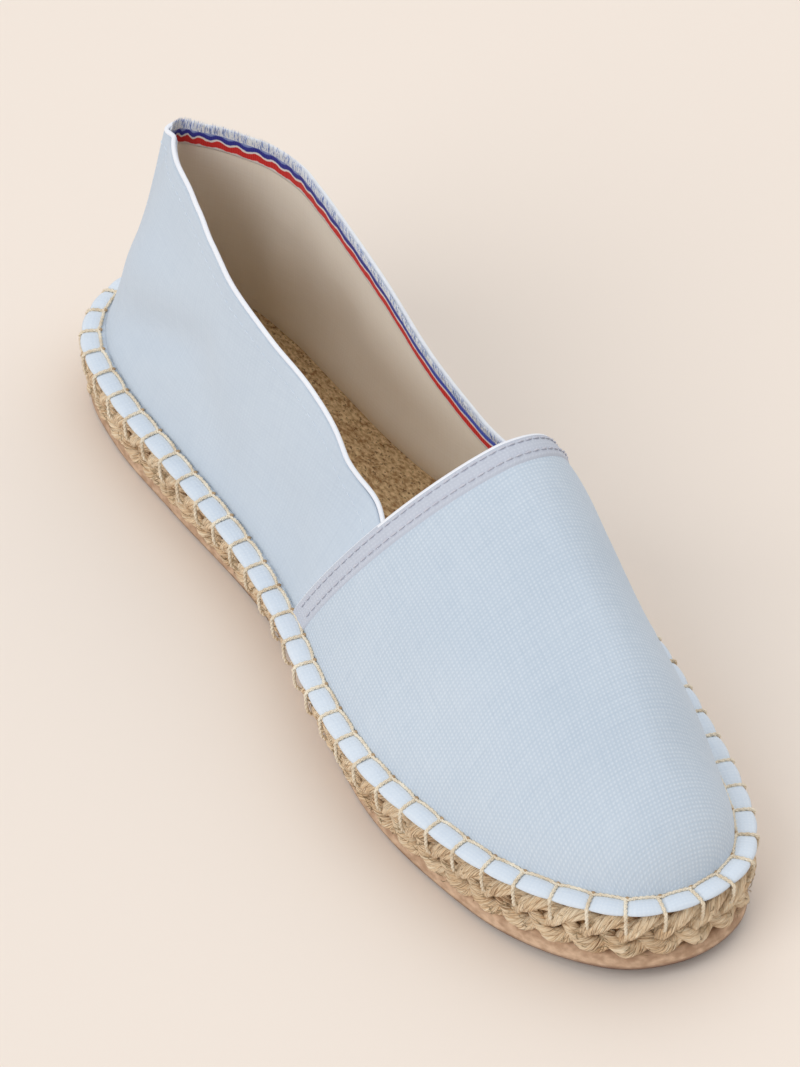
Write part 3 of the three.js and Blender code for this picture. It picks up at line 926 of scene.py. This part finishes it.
@dataclass
class SoleSlab:
    """A layer of the sole: closed rings round the plan, from its lower face to its upper one."""

    last: Last
    stations: int = 110

    def ring(self, inset: Points | float, height: float, lift: bool = False) -> Points:
        """Closed ring at equal stations on both sides, so that the two sides meet across the shoe."""
        count = self.stations + 1
        along = np.cos(np.linspace(0, math.pi, count))
        lateral, medial = (self.last.seam(round(inset, 3), side) for side in (Side.LATERAL, Side.MEDIAL))
        x = mix(medial[0][0], medial[0][-1], (along + 1) / 2)
        x = np.concatenate([x, x[::-1]])
        y = np.concatenate([np.interp(x[:count], *lateral), np.interp(x[count:], *medial)])
        inwards = self.last.side_inset(x, y, height)
        y = y - np.sign(y) * np.minimum(inwards, np.abs(y)) * smooth(0, 12, np.abs(y))
        x = x - np.sign(x) * inwards * smooth(0.9, 1.0, np.abs(x) / (self.last.sole_length / 2))
        z = height + self.last.spring(x) + (self.last.arch(x) if lift else 0)
        return np.stack([x, y, z], axis=-1)

    def spine(self, ring: Points, height: float) -> Points:
        """The middle line under or over a ring, which closes its face."""
        count = self.stations + 1
        middle = (ring[:count] + ring[count:][::-1]) / 2
        line = np.concatenate([middle, middle[::-1]])
        line[:, 2] = height + self.last.spring(line[:, 0])
        return line

    def build(self, bm: bmesh.types.BMesh, rings: list[Points]) -> None:
        """Lays a closed skin over rings that start and end on a spine."""
        points = np.stack([np.concatenate([ring, ring[:1]]) for ring in rings], axis=1)
        uvs = np.stack([points[..., 0], points[..., 2] - self.last.spring(points[..., 0])], axis=-1)
        lay_grid(bm, points, uvs * MM)
        weld(bm)
        face_away(bm, (0, 0, float(np.mean([ring[:, 2].mean() for ring in rings]))))
        bmesh.ops.recalc_face_normals(bm, faces=bm.faces)


@dataclass
class RubberOutsole:
    """Thin rubber under the rope, rounded in at its top."""

    last: Last
    lip: float = 2.4
    edge_round: float = 0.8
    tread: float = 8.0
    finish: RubberFinish = field(default_factory=RubberFinish)

    def build(self) -> bpy.types.Object:
        """Makes the outsole."""
        slab, top = SoleSlab(self.last), self.last.rubber_thickness
        profile = ((self.edge_round, 0.0), (0.25, 0.25), (0.05, 0.8), (0.2, 1.6))
        profile += ((0.7, top - 1.3), (1.5, top - 0.5), (self.lip, top))
        rings = [slab.ring(inset, height, lift=height < 0.5) for inset, height in profile]
        inner = slab.ring(self.tread, 0.0, lift=True)
        rings = [slab.spine(rings[0], 0.0), inner, *rings, slab.spine(rings[-1], top)]
        rings[0][:, 2] += self.last.arch(rings[0][:, 0])
        bm = bmesh.new()
        slab.build(bm, rings)
        return settle(bm, "rubber_sole", [self.finish.material()], "rubber_outsole")


@dataclass
class JuteSole:
    """Rope sole: a flat plait of three strands on edge round a pressed core, each strand of a few yarns."""

    last: Last
    lobe_pitch: float = 8.8
    plait_rise: float = 4.6
    plait_drop: float = 0.45
    plait_depth: float = 1.0
    plait_inset: float = 2.1
    plies: int = 4
    yarn_radius: float = 1.0
    yarn_orbit: float = 1.4
    yarn_twist: float = 17.0
    step: float = 1.15
    hairs: int = 700
    hair_radius: float = 0.1
    yarn: JuteFinish = JuteFinish("jute_yarn", (255, 236, 206), (232, 200, 160), (142, 100, 68))
    # The core is coloured a darker jute than the yarns: painted shade in the gaps between the strands.
    core: JuteFinish = JuteFinish("jute_core", (170, 132, 92), (130, 96, 62), (84, 58, 38))
    fibre: JuteFinish = JuteFinish("jute_fibre", (238, 214, 170), (216, 184, 136), (170, 132, 88))

    @property
    def lobes(self) -> int:
        """Number of lobes of the plait round the sole."""
        return 3 * round(self.last.perimeter / self.lobe_pitch / 3)

    def centre(self, share: Points, rise: Points, out: Points) -> Points:
        """Place beside the plait's middle line, by a rise and a distance outwards."""
        height = self.last.rope_seat + self.last.rope_thickness / 2 - self.plait_drop + rise
        x, y = self.last.edge(share, 0.0)
        inset = self.last.side_inset(x, y, height) + self.plait_inset - out
        x, y = self.last.edge(share, inset)
        return np.stack([x, y, height + self.last.spring(x)], axis=-1)

    def yarns(self, share: Points) -> list[Points]:
        """Middle lines of the strands' yarns round the sole."""
        lines = []
        for strand in range(3):
            turn = 2 * math.pi * (share * self.lobes / 3 + strand / 3)
            for ply in range(self.plies):
                twist = np.round(self.last.perimeter / self.yarn_twist) * share
                twist = 2 * math.pi * (twist + ply / self.plies + strand / 7)
                rise = self.plait_rise * np.sin(turn) + self.yarn_orbit * np.sin(twist)
                out = self.plait_depth * np.sin(2 * turn) + self.yarn_orbit * 0.75 * np.cos(twist)
                lines.append(self.centre(share, rise, out))
        return lines

    def build_plait(self) -> bpy.types.Object:
        """Makes the plait."""
        share = np.linspace(0, 1, round(self.last.perimeter / self.step) + 1)
        up = np.broadcast_to([0.0, 0.0, 1.0], (len(share), 3))
        bm = bmesh.new()
        for line in self.yarns(share):
            tube(bm, line, self.yarn_radius, 7, up)
        bmesh.ops.recalc_face_normals(bm, faces=bm.faces)
        return settle(bm, "jute_plait", [self.yarn.material()], "rope_sole")

    def build_core(self) -> bpy.types.Object:
        """Makes the core behind the plait."""
        slab, seat, top = SoleSlab(self.last), self.last.rope_seat, self.last.rope_top
        profile = ((3.4, seat), (2.6, seat + 1), (2.6, top - 1), (3.0, top))
        rings = [slab.ring(inset, height) for inset, height in profile]
        bm = bmesh.new()
        slab.build(bm, [slab.spine(rings[0], seat), *rings, slab.spine(rings[-1], top)])
        return settle(bm, "jute_core", [self.core.material()])

    def build_hairs(self) -> bpy.types.Object:
        """Makes the stray fibres that stand off the plait."""
        draw, bm = random.Random(7), bmesh.new()
        t, upright = np.linspace(0, 1, 4), np.broadcast_to([0.1, 0.2, 1.0], (4, 3))
        for _ in range(self.hairs):
            start, rise = draw.random(), draw.uniform(-5.0, 5.0)
            run, lift, off = draw.uniform(-3.0, 3.0), draw.uniform(-2.0, 2.0), draw.uniform(0.2, 1.1)
            share = start + run * t / self.last.perimeter
            out = 1.9 + off * np.sin(math.pi * t * 0.8)
            path = self.centre(share, np.clip(rise + lift * t, -5.2, 5.4), out)
            tube(bm, path, self.hair_radius * np.array([1.0, 1.0, 0.8, 0.0]), 3, upright)
        bmesh.ops.recalc_face_normals(bm, faces=bm.faces)
        return settle(bm, "jute_hairs", [self.fibre.material()])

    def build(self) -> None:
        """Makes the whole rope sole."""
        self.build_plait()
        self.build_core()
        self.build_hairs()


@dataclass
class Footbed:
    """Pressed jute insole that lies inside the walls."""

    last: Last
    inset: float = 6.9
    thickness: float = 2.2
    finish: FootbedFinish = field(default_factory=FootbedFinish)

    def build(self) -> bpy.types.Object:
        """Makes the insole."""
        slab, seat = SoleSlab(self.last), self.last.upper_seat
        top = seat + self.thickness
        rings = [self.flat(slab, 0.0, seat), self.flat(slab, 0.0, top - 0.7), self.flat(slab, 0.2, top - 0.2)]
        rings += [self.flat(slab, 0.7, top), self.flat(slab, 6.0, top - 0.1)]
        bm = bmesh.new()
        slab.build(bm, [slab.spine(rings[0], seat), *rings, slab.spine(rings[-1], top - 0.3)])
        return settle(bm, "footbed", [self.finish.material()], "insole")

    def flat(self, slab: SoleSlab, inset: float, height: float) -> Points:
        """A ring of the insole, without the taper of the sole's sides."""
        ring = slab.ring(self.inset + inset, self.last.rope_top)
        ring[:, 2] += height - self.last.rope_top
        return ring


@dataclass
class CanvasUpper:
    """Canvas vamp, quarter, hem and turned-out margin, lined inside."""

    last: Last
    hem_width: float = 7.0
    hem_thickness: float = 0.4
    puff: float = 0.95
    pinch: float = 0.6
    fold_radius: float = 0.6
    canvas: CanvasFinish = CanvasFinish("vamp_canvas", (222, 231, 241), (182, 197, 213), 0.36, 0.07)
    side_canvas: CanvasFinish = CanvasFinish("quarter_canvas", (216, 227, 238), (190, 203, 218), 0.1, 0.03)
    margin: CanvasFinish = CanvasFinish("margin_canvas", (236, 243, 250), (206, 218, 232), 0.14, 0.04)
    hem: CanvasFinish = CanvasFinish("hem_canvas", (212, 218, 229), (186, 192, 206), 0.3, 0.06)
    edge: CanvasFinish = CanvasFinish("folded_edge", (250, 251, 255), (234, 238, 246), 0.0, 0.0)
    lining: CanvasFinish = CanvasFinish("cream_lining", (250, 245, 235), (236, 226, 210), 0.08, 0.02)
    vamp_folds: tuple[Fold, ...] = (
        Fold((40, -34, 36), (78, -30, 36), 1.3, 9.0),
        Fold((52, -8, 60), (84, 4, 52), 0.9, 11.0),
        Fold((30, 40, 40), (70, 36, 36), 1.0, 9.0),
        Fold((92, -24, 34), (110, -8, 34), 0.8, 8.0),
        Fold((28, -20, 60), (44, -34, 44), 0.8, 8.0),
    )
    quarter_folds: tuple[Fold, ...] = (
        Fold((-108, -17, 25), (-66, -20, 48), 3.2, 6.5),
        Fold((-108, -14, 42), (-80, -16, 56), -1.6, 8.0),
        Fold((-70, -24, 44), (-46, -26, 30), 1.6, 9.0),
        Fold((-30, -26, 42), (-8, -31, 28), 1.7, 9.0),
        Fold((-92, 19, 26), (-88, 17, 54), 2.2, 7.5),
        Fold((-66, 22, 30), (-60, 21, 52), -1.4, 8.0),
        Fold((-84, 21, 22), (-8, 27, 22), 2.8, 8.0),
        Fold((-118, 0, 30), (-112, 2, 62), 0.9, 8.0),
    )

    def folded(self, points: Points, folds: tuple[Fold, ...], inner: Points) -> Points:
        """Points pressed in by the folds, towards the inside of the shoe."""
        normal = grid_normals(points)
        outwards = np.sign(np.sum(normal * (points - inner), axis=-1, keepdims=True))
        for fold in folds:
            points = points - normal * outwards * fold.push(points)[..., None]
        return points

    def build_vamp(self) -> bpy.types.Object:
        """Makes the vamp: canvas outside, lining inside."""
        turn = np.linspace(0, 1, 151)[None, :]
        back = 1 - np.cos(np.linspace(0, 1, 121)[:, None] * math.pi / 2)
        x = mix(self.last.toe_x(), self.last.hem_x(turn), back)
        points = self.last.vamp_points(x, turn)
        ridge_x = np.linspace(self.last.toe_x(), self.last.throat_x - self.last.hem_sweep, 300)
        ridge = self.last.vamp_points(ridge_x, 0.5)
        along = lengths(ridge[None])[0]
        u = np.interp(-x, -ridge_x, along)
        v = lengths(points)
        v = v - v[:, 75:76]
        points = self.folded(points, self.vamp_folds, np.array([60.0, 5.0, 20.0]))
        bm = bmesh.new()
        lay_grid(bm, points, np.stack([u, v], axis=-1) * MM)
        weld(bm)
        face_away(bm, (60, 5, 20))
        materials = [self.canvas.material(), self.lining.material()]
        piece = settle(bm, "vamp", materials, "canvas_upper")
        thicken(piece, self.last.canvas_thickness, lined=True)
        return piece

    def build_quarter(self) -> bpy.types.Object:
        """Makes the quarter: canvas outside, lining inside."""
        first, last = self.last.quarter_span
        share = np.linspace(first, last, 421)[:, None]
        up = np.linspace(0, 1, 49)[None, :]
        height = (self.last.collar_height(share) - 0.45) * up
        points = self.last.quarter_points(share, height, self.last.quarter_step)
        points = self.folded(points, self.quarter_folds, np.array([-60.0, 0.0, 40.0]))
        u, v = np.broadcast_arrays(share * self.last.perimeter, height)
        bm = bmesh.new()
        lay_grid(bm, points, np.stack([u, v], axis=-1) * MM)
        face_away(bm, (-60, 0, 40))
        piece = settle(bm, "quarter", [self.side_canvas.material(), self.lining.material()])
        thicken(piece, self.last.canvas_thickness, lined=True)
        return piece

    def build_collar_edge(self) -> bpy.types.Object:
        """Makes the folded edge along the collar."""
        first, last = self.last.quarter_span
        share = np.linspace(first, last, 421)
        height = self.last.collar_height(share) - 0.1
        depth = self.last.quarter_step + self.last.canvas_thickness * 0.42
        path = self.last.quarter_points(share, height, depth)
        bm = bmesh.new()
        upright = np.broadcast_to([0.0, 0.0, 1.0], path.shape)
        tube(bm, path, self.fold_radius * ends(len(path)), 10, upright, self.fold_radius * 6 * MM)
        bmesh.ops.recalc_face_normals(bm, faces=bm.faces)
        return settle(bm, "collar_edge", [self.edge.material()])

    def build_hem(self) -> bpy.types.Object:
        """Makes the hem along the throat: a folded strip with a pale rear edge."""
        turn = np.linspace(0, 1, 201)
        wide, thick, wall = self.hem_width, self.hem_thickness, self.last.canvas_thickness
        profile = ((wide, 0.1), (wide - 0.2, -0.2), (wide - 0.7, -thick), (wide - 1.7, -thick - 0.05))
        profile += ((wide / 2, -thick - 0.2), (1.9, -thick - 0.05), (0.9, -thick - 0.25), (0.2, -thick - 0.1))
        profile += ((-0.25, -0.1), (-0.25, wall * 0.5), (0.1, wall + 0.1), (1.0, wall + 0.35))
        profile += ((wide - 1, wall + 0.35), (wide, wall))
        rows = [self.last.vamp_points(self.last.hem_x(turn) + ahead, turn, depth) for ahead, depth in profile]
        points = np.stack(rows, axis=1)
        u, v = lengths(np.swapaxes(points, 0, 1)).T, lengths(points)
        bm = bmesh.new()
        lay_grid(bm, points, np.stack([u, v], axis=-1) * MM)
        face_away(bm, (30, 5, 20))
        piece = settle(bm, "throat_hem", [self.hem.material(), self.edge.material()])
        rear = self.last.hem_x(turn)
        for polygon in piece.data.polygons:
            centre = polygon.center / MM
            side = np.interp(centre.y, [p[1] for p in rows[8][::-1]], rear[::-1])
            polygon.material_index = 1 if centre.x < side + 0.75 else 0
        return piece

    def build_margin(self) -> bpy.types.Object:
        """Makes the turned-out margin, which puffs up between the legs of the stitches."""
        wide, thick = self.last.welt_width, self.last.welt_thickness
        profile = ((1.3, 0.8, 0.0, 0.0), (1.04, 1.02, 0.2, 0.0), (0.82, 1.15, 0.8, 0.0), (0.5, 1.2, 1.0, 0.1))
        profile += ((0.22, 1.1, 1.0, 0.4), (0.04, 0.85, 0.7, 0.8), (-0.03, 0.5, 0.3, 1.0))
        profile += ((0.05, 0.16, 0.0, 0.7), (0.2, 0.0, 0.0, 0.3), (0.6, -0.06, 0.0, 0.0), (1.3, -0.06, 0.0, 0.0))
        share = np.linspace(0, 1, self.last.legs * 14 + 1)
        swell = self.puff * np.abs(np.sin(math.pi * share * self.last.legs)) ** 0.55 - self.pinch
        rows = []
        for inset, rise, up, out in profile:
            x, y = self.last.edge(share, inset * wide - out * swell * 0.7)
            height = self.last.upper_seat + rise * thick + up * swell
            rows.append(np.stack([x, y, height + self.last.spring(x)], axis=-1))
        points = np.stack(rows, axis=1)
        u = np.broadcast_to(share[:, None] * self.last.perimeter, points.shape[:2])
        bm = bmesh.new()
        lay_grid(bm, points, np.stack([u, lengths(points)], axis=-1) * MM)
        weld(bm)
        bmesh.ops.recalc_face_normals(bm, faces=bm.faces)
        highest = max(bm.faces, key=lambda f: f.calc_center_median().z)
        if highest.normal.z < 0:
            bmesh.ops.reverse_faces(bm, faces=bm.faces)
        return settle(bm, "margin", [self.margin.material()])

    def build(self) -> None:
        """Makes the whole upper."""
        self.build_vamp()
        self.build_quarter()
        self.build_collar_edge()
        self.build_hem()
        self.build_margin()


@dataclass
class Stitching:
    """Blanket stitch that holds the upper to the rope, and the finer rows on hem and collar."""

    last: Last
    ply_radius: float = 0.31
    ply_orbit: float = 0.2
    ply_pitch: float = 2.6
    leg_slant: float = 0.9
    knot_radius: float = 0.6
    hem_stitch: float = 2.2
    hem_gap: float = 0.3
    hem_thread: float = 0.26
    collar_thread: float = 0.14
    collar_row: float = 4.6
    rows: tuple[float, ...] = (1.75, 5.3)
    thread: ThreadFinish = ThreadFinish("ecru_thread", (252, 242, 222), (216, 194, 162))
    # The knots sit in the crease and take a darker copy of the ecru thread: painted shade.
    knot: ThreadFinish = ThreadFinish("knot_painted_shade", (190, 162, 128), (150, 120, 88))
    lilac: ThreadFinish = ThreadFinish("lilac_thread", (206, 208, 219), (190, 192, 205), relief=0.0)
    pale: ThreadFinish = ThreadFinish("pale_thread", (216, 226, 237), (204, 215, 227), relief=0.01)

    def twisted(self, bm: bmesh.types.BMesh, path: Points, reference: Points, closed: bool = False) -> None:
        """Sweeps a two-ply thread along a path."""
        run = np.gradient(path, axis=0)
        run /= np.linalg.norm(run, axis=1, keepdims=True)
        over = reference - run * np.sum(run * reference, axis=1, keepdims=True)
        over /= np.linalg.norm(over, axis=1, keepdims=True)
        other = np.cross(run, over)
        along = np.concatenate([[0], np.cumsum(np.linalg.norm(np.diff(path, axis=0), axis=1))])
        turns = max(1, round(along[-1] / self.ply_pitch))
        radius = self.ply_radius * (1.0 if closed else ends(len(path)))
        for ply in (0.0, 0.5):
            angle = (2 * math.pi * (turns * along / along[-1] + ply))[:, None]
            tube(bm, path + self.ply_orbit * (over * np.cos(angle) + other * np.sin(angle)), radius, 5, over)

    def leg(self, share: float) -> tuple[Points, Points]:
        """Middle line of one leg and the direction across it."""
        wide, thick, seat = self.last.welt_width, self.last.welt_thickness, self.last.upper_seat
        corners = np.array(
            [
                (1.02 * wide, seat + 1.05 * thick),
                (0.8 * wide, seat + 1.12 * thick),
                (0.45 * wide, seat + 1.15 * thick),
                (0.12 * wide, seat + 0.98 * thick),
                (-0.12 * wide, seat + 0.45 * thick),
                (-0.09 * wide, seat - 0.8),
                (-0.08 * wide, seat - 3.0),
                (0.0 * wide, seat - 5.2),
                (0.3 * wide, seat - 6.6),
            ]
        )
        t = np.linspace(0, len(corners) - 1, 26)
        inset, height = (np.interp(t, np.arange(len(corners)), corners[:, i]) for i in (0, 1))
        for _ in range(2):
            inset[1:-1] = (inset[:-2] + 2 * inset[1:-1] + inset[2:]) / 4
            height[1:-1] = (height[:-2] + 2 * height[1:-1] + height[2:]) / 4
        slide = share + self.leg_slant * (t / t[-1] - 0.4) / self.last.perimeter
        x, y = self.last.edge(slide, inset)
        ahead = np.subtract(self.last.edge(share + 0.002, 0), self.last.edge(share - 0.002, 0))
        path = np.stack([x, y, height + self.last.spring(x)], axis=-1)
        return path, np.broadcast_to([ahead[0], ahead[1], 0.0], path.shape)

    def build_blanket(self) -> bpy.types.Object:
        """Makes the run along the crease, the legs across the margin and the knots between them."""
        bm, draw = bmesh.new(), random.Random(3)
        legs = self.last.legs
        places = np.arange(legs) / legs
        for share in places:
            self.twisted(bm, *self.leg(share + draw.uniform(-0.25, 0.25) / self.last.perimeter))
        share = np.linspace(0, 1, legs * 10 + 1)
        tug = np.abs(np.cos(math.pi * share * legs)) ** 6
        x, y = self.last.edge(share, self.last.welt_width * (1.0 - 0.08 * tug))
        run = np.stack([x, y, self.last.crease + 0.55 - 0.25 * tug + self.last.spring(x)], axis=-1)
        self.twisted(bm, run, np.broadcast_to([0.0, 0.0, 1.0], run.shape), closed=True)
        bmesh.ops.recalc_face_normals(bm, faces=bm.faces)
        sewn = len(bm.faces)
        for share in places:
            x, y = self.last.edge(share, self.last.welt_width * 1.0)
            place = Vector((x, y, self.last.crease + 0.5 + self.last.spring(x))) * MM
            flat = Matrix.Translation(place) @ Matrix.Diagonal((1, 1, 0.7, 1))
            bmesh.ops.create_icosphere(bm, subdivisions=1, radius=self.knot_radius * MM, matrix=flat)
        # The knots get the darker thread: painted shade in the crease.
        bm.faces.ensure_lookup_table()
        for face in bm.faces[sewn:]:
            face.material_index = 1
        return settle(bm, "blanket_stitch", [self.thread.material(), self.knot.material()])

    def sew(self, bm: bmesh.types.BMesh, line: Points, normal: Points, radius: float) -> None:
        """Sews a row of single stitches along a line."""
        along = np.concatenate([[0], np.cumsum(np.linalg.norm(np.diff(line, axis=0), axis=1))])
        pitch = self.hem_stitch + self.hem_gap
        for start in np.arange(pitch, along[-1] - 2 * pitch, pitch):
            at = np.linspace(start, start + self.hem_stitch, 6)
            path = np.stack([np.interp(at, along, line[:, i]) for i in range(3)], axis=-1)
            out = np.stack([np.interp(at, along, normal[:, i]) for i in range(3)], axis=-1)
            path = path + out * (radius * 1.1 * np.sin(np.linspace(0, math.pi, 6)) - 0.1)[:, None]
            tube(bm, path, radius * ends(6), 5, out)

    def build_hem_rows(self) -> bpy.types.Object:
        """Makes the two rows of stitches on the hem."""
        turn, bm = np.linspace(0.01, 0.965, 400), bmesh.new()
        for ahead in self.rows:
            x = self.last.hem_x(turn) + ahead
            line, lower = (self.last.vamp_points(x, turn, depth) for depth in (-0.58, 0.0))
            out = line - lower
            out /= np.maximum(np.linalg.norm(out, axis=1, keepdims=True), 1e-6)
            self.sew(bm, line, out, self.hem_thread)
        bmesh.ops.recalc_face_normals(bm, faces=bm.faces)
        return settle(bm, "hem_stitches", [self.lilac.material()])

    def build_collar_row(self) -> bpy.types.Object:
        """Makes the faint row below the collar's edge."""
        first, last = self.last.quarter_span
        share, bm = np.linspace(first, last, 700), bmesh.new()
        height = self.last.collar_height(share) - self.collar_row
        line = self.last.quarter_points(share, height, self.last.quarter_step)
        out = line - self.last.quarter_points(share, height, self.last.quarter_step + 1)
        self.sew(bm, line, out, self.collar_thread)
        bmesh.ops.recalc_face_normals(bm, faces=bm.faces)
        return settle(bm, "collar_stitches", [self.pale.material()])

    def build(self) -> None:
        """Makes all the stitching."""
        self.build_blanket()
        self.build_hem_rows()
        self.build_collar_row()


@dataclass
class Selvedge:
    """Woven tape inside the collar with a fringe along its upper edge."""

    last: Last
    width: float = 7.2
    above: float = 0.5
    sink: float = 1.5
    stop: float = 12.0
    wave: float = 0.075
    wave_length: float = 7.2
    fibres: int = 2600
    fibre_radius: float = 0.11
    blue_share: float = 0.27
    shortest: float = 0.6
    longest: float = 1.5
    heel_extra: float = 1.2
    thickness: float = 0.25
    heel_reach: float = 0.14
    root: float = 1.7
    medial_run: float = 0.012
    finish: SelvedgeFinish = field(default_factory=SelvedgeFinish)
    pale: ThreadFinish = ThreadFinish("pale_fringe", (252, 254, 255), (232, 238, 250), relief=0.0)
    blue: ThreadFinish = ThreadFinish("blue_fringe", (160, 180, 226), (120, 138, 200), relief=0.0)

    @cached_property
    def span(self) -> tuple[float, float]:
        """Shares of the perimeter between which the tape runs."""
        return tuple(self.last.share_at(self.last.throat_x - self.stop, side) for side in Side)

    def points(self, share: Points, below: Points) -> Points:
        """Points of the tape, on the lining at a distance below the collar, lower on the medial side."""
        depth = self.last.quarter_step + self.last.canvas_thickness + 0.3
        lower = self.sink * smooth(self.last.heel_share + 0.005, self.last.heel_share + 0.03, share)
        return self.last.quarter_points(share, self.last.collar_height(share) - below - lower, depth)

    def build_tape(self) -> bpy.types.Object:
        """Makes the tape."""
        share = np.linspace(*self.span, 901)[:, None]
        across = np.linspace(0, 1, 13)[None, :]
        points = self.points(share, mix(-self.above, self.width - self.above, across))
        along = share * self.last.perimeter
        heel = np.exp(-(((share - self.last.heel_share) / self.heel_reach) ** 2))
        ripple = self.wave * (0.25 + 0.75 * heel) * np.sin(2 * math.pi * along / self.wave_length)
        v = across + ripple * np.sin(math.pi * across)
        u = np.broadcast_to(along * MM, v.shape)
        bm = bmesh.new()
        lay_grid(bm, points, np.stack([u, v], axis=-1))
        face_away(bm, (-60, 0, 60))
        bmesh.ops.reverse_faces(bm, faces=bm.faces)
        piece = settle(bm, "selvedge", [self.finish.material()], "collar_tape")
        thicken(piece, self.thickness)
        return piece

    def build_fringe(self) -> bpy.types.Object:
        """Makes the loose fibres along the tape's upper edge."""
        draw, bm = random.Random(11), bmesh.new()
        t, across = np.linspace(0, 1, 4), np.broadcast_to([1.0, 0.3, 0.1], (4, 3))
        end = self.last.heel_share + self.medial_run
        for _ in range(self.fibres):
            share = draw.uniform(self.span[0], end)
            heel = math.exp(-(((share - self.last.heel_share) / self.heel_reach) ** 2))
            length = draw.uniform(self.shortest, self.longest + self.heel_extra * heel)
            lean = draw.uniform(-0.9, 0.9)
            below = -self.above + self.root - (length + self.root) * t
            line = self.points(share + lean * t / self.last.perimeter, below)
            bend = -np.sign(line[:, 1]) * t * (1 - t) * 2
            inner = draw.uniform(0.1, 0.6) * np.stack([0 * t, bend, 0 * t], axis=-1)
            first = len(bm.faces)
            tube(bm, line + inner, self.fibre_radius * np.array([1, 0.9, 0.6, 0.0]), 3, across)
            if draw.random() < self.blue_share:
                bm.faces.ensure_lookup_table()
                for face in bm.faces[first:]:
                    face.material_index = 1
        bmesh.ops.recalc_face_normals(bm, faces=bm.faces)
        return settle(bm, "fringe", [self.pale.material(), self.blue.material()])

    def build(self) -> None:
        """Makes the tape and its fringe."""
        self.build_tape()
        self.build_fringe()


@dataclass(frozen=True)
class Lamp:
    """Broad, far lamp: its strength, its spread in degrees and the direction that it shines from."""

    name: str
    energy: float
    spread: float
    shines_from: tuple[float, float, float]

    def build(self) -> None:
        """Sets the lamp."""
        lamp = bpy.data.lights.new(self.name, "SUN")
        lamp.energy, lamp.angle = self.energy, math.radians(self.spread)
        holder = bpy.data.objects.new(self.name, lamp)
        holder.matrix_world = Vector(self.shines_from).to_track_quat("Z", "Y").to_matrix().to_4x4()
        bpy.context.scene.collection.objects.link(holder)


@dataclass
class Studio:
    """Plain pale floor, soft light and the camera at the photograph's angle."""

    lens: float = 183.4
    distance: float = 1.2806
    roll: float = 1.4559
    back: tuple[float, float, float] = (0.635, -0.397, 0.663)
    right: tuple[float, float, float] = (0.53, 0.848, 0.0)
    aim_height: float = 0.03
    sky: tuple[float, float, float, float] = (1.0, 0.985, 0.965, 1.0)
    floor_size: float = 6.0
    inner_lamp: Lamp = Lamp("inner_lamp", 1.2, 45.0, (0.2, -0.85, 0.62))
    outer_lamp: Lamp = Lamp("outer_lamp", 0.95, 90.0, (-0.25, 0.45, 0.9))
    fill: float = 0.545
    finish: FloorFinish = field(default_factory=FloorFinish)

    def build_camera(self) -> None:
        """Sets the camera that looks down past the toe from the inner side."""
        back, right = Vector(self.back).normalized(), Vector(self.right).normalized()
        turn = Matrix((right, back.cross(right), back)).transposed()
        turn = turn @ Matrix.Rotation(math.radians(self.roll), 3, "Z")
        lens = bpy.data.cameras.new("camera")
        lens.lens, lens.sensor_width = self.lens, 36.0
        camera = bpy.data.objects.new("camera", lens)
        place = Vector((0, 0, self.aim_height)) + back * self.distance
        camera.matrix_world = Matrix.Translation(place) @ turn.to_4x4()
        bpy.context.scene.collection.objects.link(camera)
        bpy.context.scene.camera = camera

    def build(self) -> None:
        """Sets the floor, the light and the camera."""
        bm = bmesh.new()
        bmesh.ops.create_grid(bm, x_segments=1, y_segments=1, size=self.floor_size)
        mesh = bpy.data.meshes.new("floor")
        bm.to_mesh(mesh)
        bm.free()
        mesh.materials.append(self.finish.material())
        floor = bpy.data.objects.new("floor", mesh)
        bpy.context.scene.collection.objects.link(floor)
        world = bpy.data.worlds.new("studio")
        world.use_nodes = True
        sky = world.node_tree.nodes["Background"].inputs
        sky["Color"].default_value, sky["Strength"].default_value = self.sky, self.fill
        bpy.context.scene.world = world
        bpy.context.scene.view_settings.view_transform = "Standard"
        self.inner_lamp.build()
        self.outer_lamp.build()
        self.build_camera()


def corners(box: tuple[Vector, Vector]) -> list[list[float]]:
    """A box's two corners as plain lists."""
    return [list(corner) for corner in box]


def main() -> None:
    """Builds the sub-assemblies in order."""
    logging.basicConfig(level=logging.INFO, format="%(name)s: %(message)s")
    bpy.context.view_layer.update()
    last = Last()
    RubberOutsole(last).build()
    JuteSole(last).build()
    Footbed(last).build()
    CanvasUpper(last).build()
    Stitching(last).build()
    Selvedge(last).build()
    Studio().build()
    bpy.context.view_layer.update()


if __name__ == "__main__":
    main()
